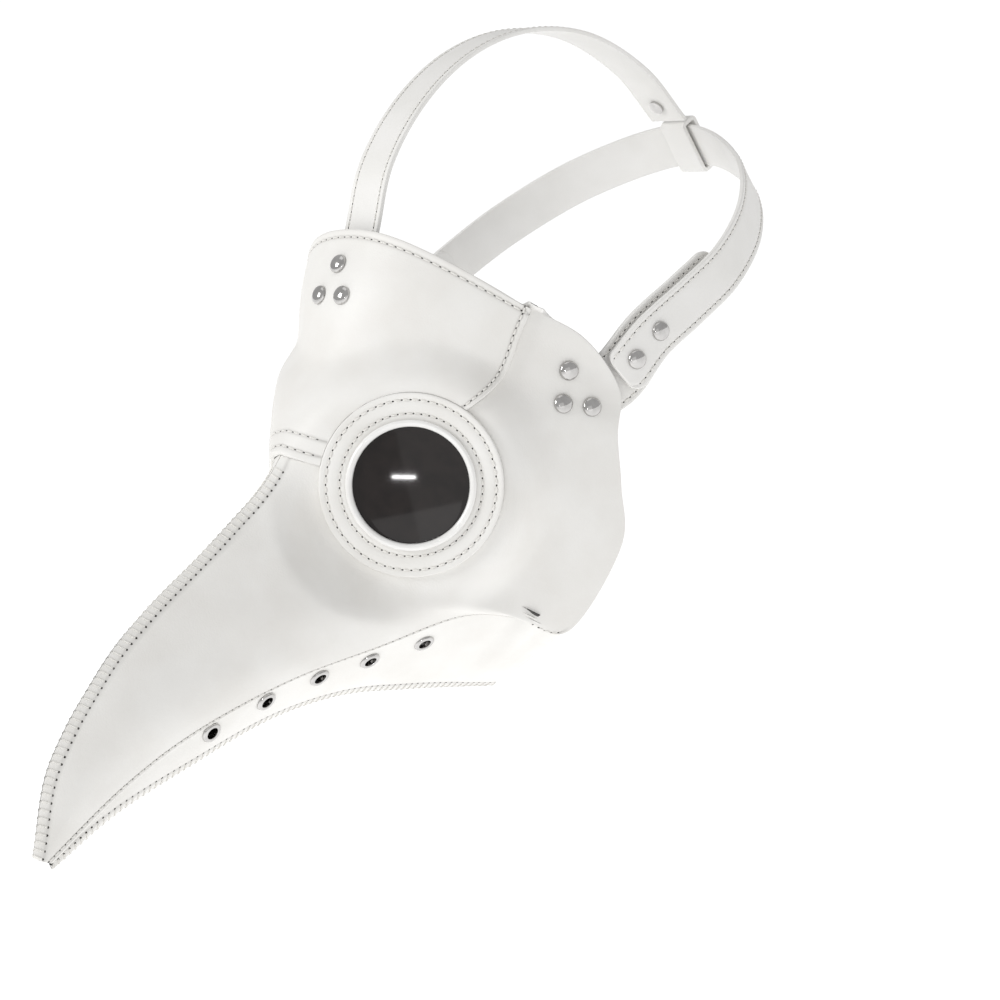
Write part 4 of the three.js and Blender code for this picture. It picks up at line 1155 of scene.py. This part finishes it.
def make_harness():
    for side_name in SIDES:
        mirror = side_name == "right"
        flip = np.array([-1, 1, 1]) if mirror else np.ones(3)
        builder = Builder()
        add_strap(builder, side_spot_at, 0, tab_end, TAB_WIDTH, 0, *TAB_ROUNDS)
        piece = builder.make(f"tab_leather_{side_name}", mirror)
        finish_piece(piece, "mask", "strap_leather", f"strap_tab_{side_name}")
        builder = Builder()
        add_strap(builder, side_spot_at, strap_front, side_length / 2, STRAP_WIDTH, strap_outer, STRAP_ROUND)
        nodes = (f"strap_end_{side_name}",) + (() if mirror else ("back_strap",))
        piece = finish_piece(builder.make(f"head_strap_{side_name}", mirror), None, "strap_leather", *nodes)
        start, end = (side_spot_at(peel_at + shift)[0] * flip * MM for shift in (-PEEL_BEND, PEEL_BEND))
        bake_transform(piece)
    builder = Builder()
    add_strap(builder, top_spot_at, 0, top_length, STRAP_WIDTH, 0)
    piece = finish_piece(builder.make("crown_strap"), None, "strap_leather", "top_strap", "top_strap_tail")
    start, end = (top_spot_at(top_length - from_end)[0] * MM for from_end in CROWN_BEND)
    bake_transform(piece)
    make_loop()
    make_snaps()


def make_loop():
    """The sleeve at the end of the crown strap, which slides along the head strap."""
    origin, x, y, z = side_spot_at(side_length / 2)
    origin = origin + z * (strap_outer - LEATHER / 2)
    half_height = STRAP_WIDTH / 2 + 2 * GAP + LEATHER / 2
    half_depth = LEATHER / 2 + LOOP_PLAY + LEATHER / 2
    path = []
    for cy, cz, turn in ((1, 1, 0), (-1, 1, 90), (-1, -1, 180), (1, -1, 270)):
        for angle in np.radians(np.linspace(turn, turn + 90, 8)):
            out = np.array([math.cos(angle), math.sin(angle)])
            centre = np.array([cy * (half_height - LOOP_CORNER), cz * (half_depth - LOOP_CORNER)])
            path.append((centre + LOOP_CORNER * out, out))
    wall, end = LEATHER / 2, LOOP_LENGTH / 2
    section = rounded_profile([(wall, -end), (wall, end), (-wall, end), (-wall, -end)], 0.6, 4)
    rows = []
    for centre, out in path:
        local = np.array([[along_x, *(centre + out * away)] for away, along_x in section])
        rows.append(placed(local, (origin, x, y, z)))
    builder = Builder()
    add_loft(builder, rows, STRAP, closed=True)
    piece = weld(builder.make("loop_leather"))
    finish_piece(piece, "sliding_loop", "strap_leather", "top_strap_loop")
    spot = top_spot_at(top_length - LOOP_RIVET_FROM_END)
    add_hardware("loop_stud", "loop_rivet", spot, rivet_profile(LEATHER), "sliding_loop", False)


def make_snaps():
    cap = [(0, strap_inner), (CAP_SHANK_RADIUS, strap_inner), (CAP_SHANK_RADIUS, strap_outer + 0.1),
           (RIVET_RADIUS - 0.4, strap_outer + 0.05), *dome(RIVET_RADIUS, SNAP_DOME, strap_outer + 0.35)]
    socket_top = strap_inner - GAP
    inner = STUD_POST_RADIUS + SOCKET_CLEARANCE
    socket = rounded_profile([(inner, socket_top - SOCKET_HEIGHT), (SOCKET_RADIUS, socket_top - SOCKET_HEIGHT),
                              (SOCKET_RADIUS, socket_top), (inner, socket_top)])
    flange_top, post_top = GAP + STUD_FLANGE, strap_inner - 2 * GAP
    stud = [(0, GAP), (STUD_RADIUS, GAP), (STUD_RADIUS, flange_top), (STUD_POST_RADIUS, flange_top),
            (STUD_POST_RADIUS, post_top), (0, post_top)]
    for i, distance in enumerate(SNAPS, 1):
        spot = side_spot_at(strap_front + distance)
        add_hardware(f"snap_button_{{side}}_{i}", f"snap_cap_{{side}}_{i}", spot, cap, "{side}_strap_end")
        add_hardware(f"snap_ring_{{side}}_{i}", f"snap_socket_{{side}}_{i}", spot, socket, "{side}_strap_end")
        add_hardware(f"snap_post_{{side}}_{i}", f"snap_stud_{{side}}_{i}", spot, stud, "mask")


# ---- studio ----

FLOOR_HEIGHT = -0.60
FLOOR_REACH = 40
AMBIENT = 0.55
BACKDROP = 1.05  # brightness of the world where the camera sees it
FLOOR_GLOW = 0.55  # light of its own, so that the floor reads white out to its edge
CAMERA_PLACE = (1.10364, -0.89226, 0.35146)
CAMERA_AXES = ((0.67091, 0.70899, -0.21729), (-0.04859, 0.33442, 0.94117), (0.73994, -0.62089, 0.25882))
FOCAL_LENGTH = 130.7
GLINT_DISTANCE = 1.2
GLINT_DIRECTION = (0.630, -0.764, 0.136)  # from the eye to the strip light that its lens reflects


def area_light(name, place, target, size, power, size_y=None, across=None):
    """A rectangular light at a place, in metres, facing a target; `across` is the way its length runs."""
    data = bpy.data.lights.new(name, "AREA")
    data.shape = "RECTANGLE"
    data.size = size
    data.size_y = size_y or size
    data.energy = power
    light = bpy.data.objects.new(name, data)
    back = unit(np.array(place, float) - np.array(target, float))
    up = np.cross(back, across) if across else (0, 0, 1)
    right = unit(np.cross(up, back))
    matrix = Matrix(np.column_stack([right, np.cross(back, right), back]).tolist()).to_4x4()
    matrix.translation = place
    light.matrix_world = matrix
    bpy.context.scene.collection.objects.link(light)
    return light


def make_studio():
    scene = bpy.context.scene
    scene.view_settings.view_transform = "Standard"
    world = bpy.data.worlds.new("studio")
    world.use_nodes = True
    scene.world = world
    nodes, links = world.node_tree.nodes, world.node_tree.links
    nodes["Background"].inputs["Color"].default_value = (1, 1, 1, 1)
    nodes["Background"].inputs["Strength"].default_value = AMBIENT
    seen = nodes.new("ShaderNodeBackground")
    seen.inputs["Color"].default_value = (1, 1, 1, 1)
    seen.inputs["Strength"].default_value = BACKDROP
    rays, mix = nodes.new("ShaderNodeLightPath"), nodes.new("ShaderNodeMixShader")
    links.new(rays.outputs["Is Camera Ray"], mix.inputs["Fac"])
    links.new(nodes["Background"].outputs["Background"], mix.inputs[1])
    links.new(seen.outputs["Background"], mix.inputs[2])
    links.new(mix.outputs["Shader"], nodes["World Output"].inputs["Surface"])

    floor_mesh = bpy.data.meshes.new("floor")
    reach = FLOOR_REACH
    corners = [(-reach, -reach), (reach, -reach), (reach, reach), (-reach, reach)]
    floor_mesh.from_pydata([(x, y, FLOOR_HEIGHT) for x, y in corners], [], [(0, 1, 2, 3)])
    floor = bpy.data.objects.new("floor", floor_mesh)
    pale = plain("pale_floor", (0.93, 0.93, 0.93), (0.95, 0.95, 0.95), 0.8, scale=20)
    pale_shader = pale.node_tree.nodes["Principled BSDF"]
    pale_shader.inputs["Emission Color"].default_value = (1, 1, 1, 1)
    pale_shader.inputs["Emission Strength"].default_value = FLOOR_GLOW
    floor_mesh.materials.append(pale)
    scene.collection.objects.link(floor)

    camera_data = bpy.data.cameras.new("camera")
    camera_data.lens = FOCAL_LENGTH
    camera_data.sensor_width = 36
    camera = bpy.data.objects.new("camera", camera_data)
    matrix = Matrix(np.column_stack(CAMERA_AXES).tolist()).to_4x4()
    matrix.translation = CAMERA_PLACE
    camera.matrix_world = matrix
    scene.collection.objects.link(camera)
    scene.camera = camera

    area_light("key", (-0.55, -1.5, 1.1), (0, -0.05, 0), 0.7, 15)
    area_light("fill", (1.5, -0.9, 0.1), (0, 0, 0), 1.2, 1.2)
    eye = eye_spot[0] * MM
    glint_place = eye + GLINT_DISTANCE * np.array(GLINT_DIRECTION)
    area_light("lens_glint", tuple(glint_place), tuple(eye), 0.12, 0.3, 0.012, CAMERA_AXES[0])
    area_light("top", (0, 0.2, 1.8), (0, 0, 0), 1.2, 2.5)


make_panels()
make_stitching()
make_eyes()
make_hardware()
make_harness()
make_studio()
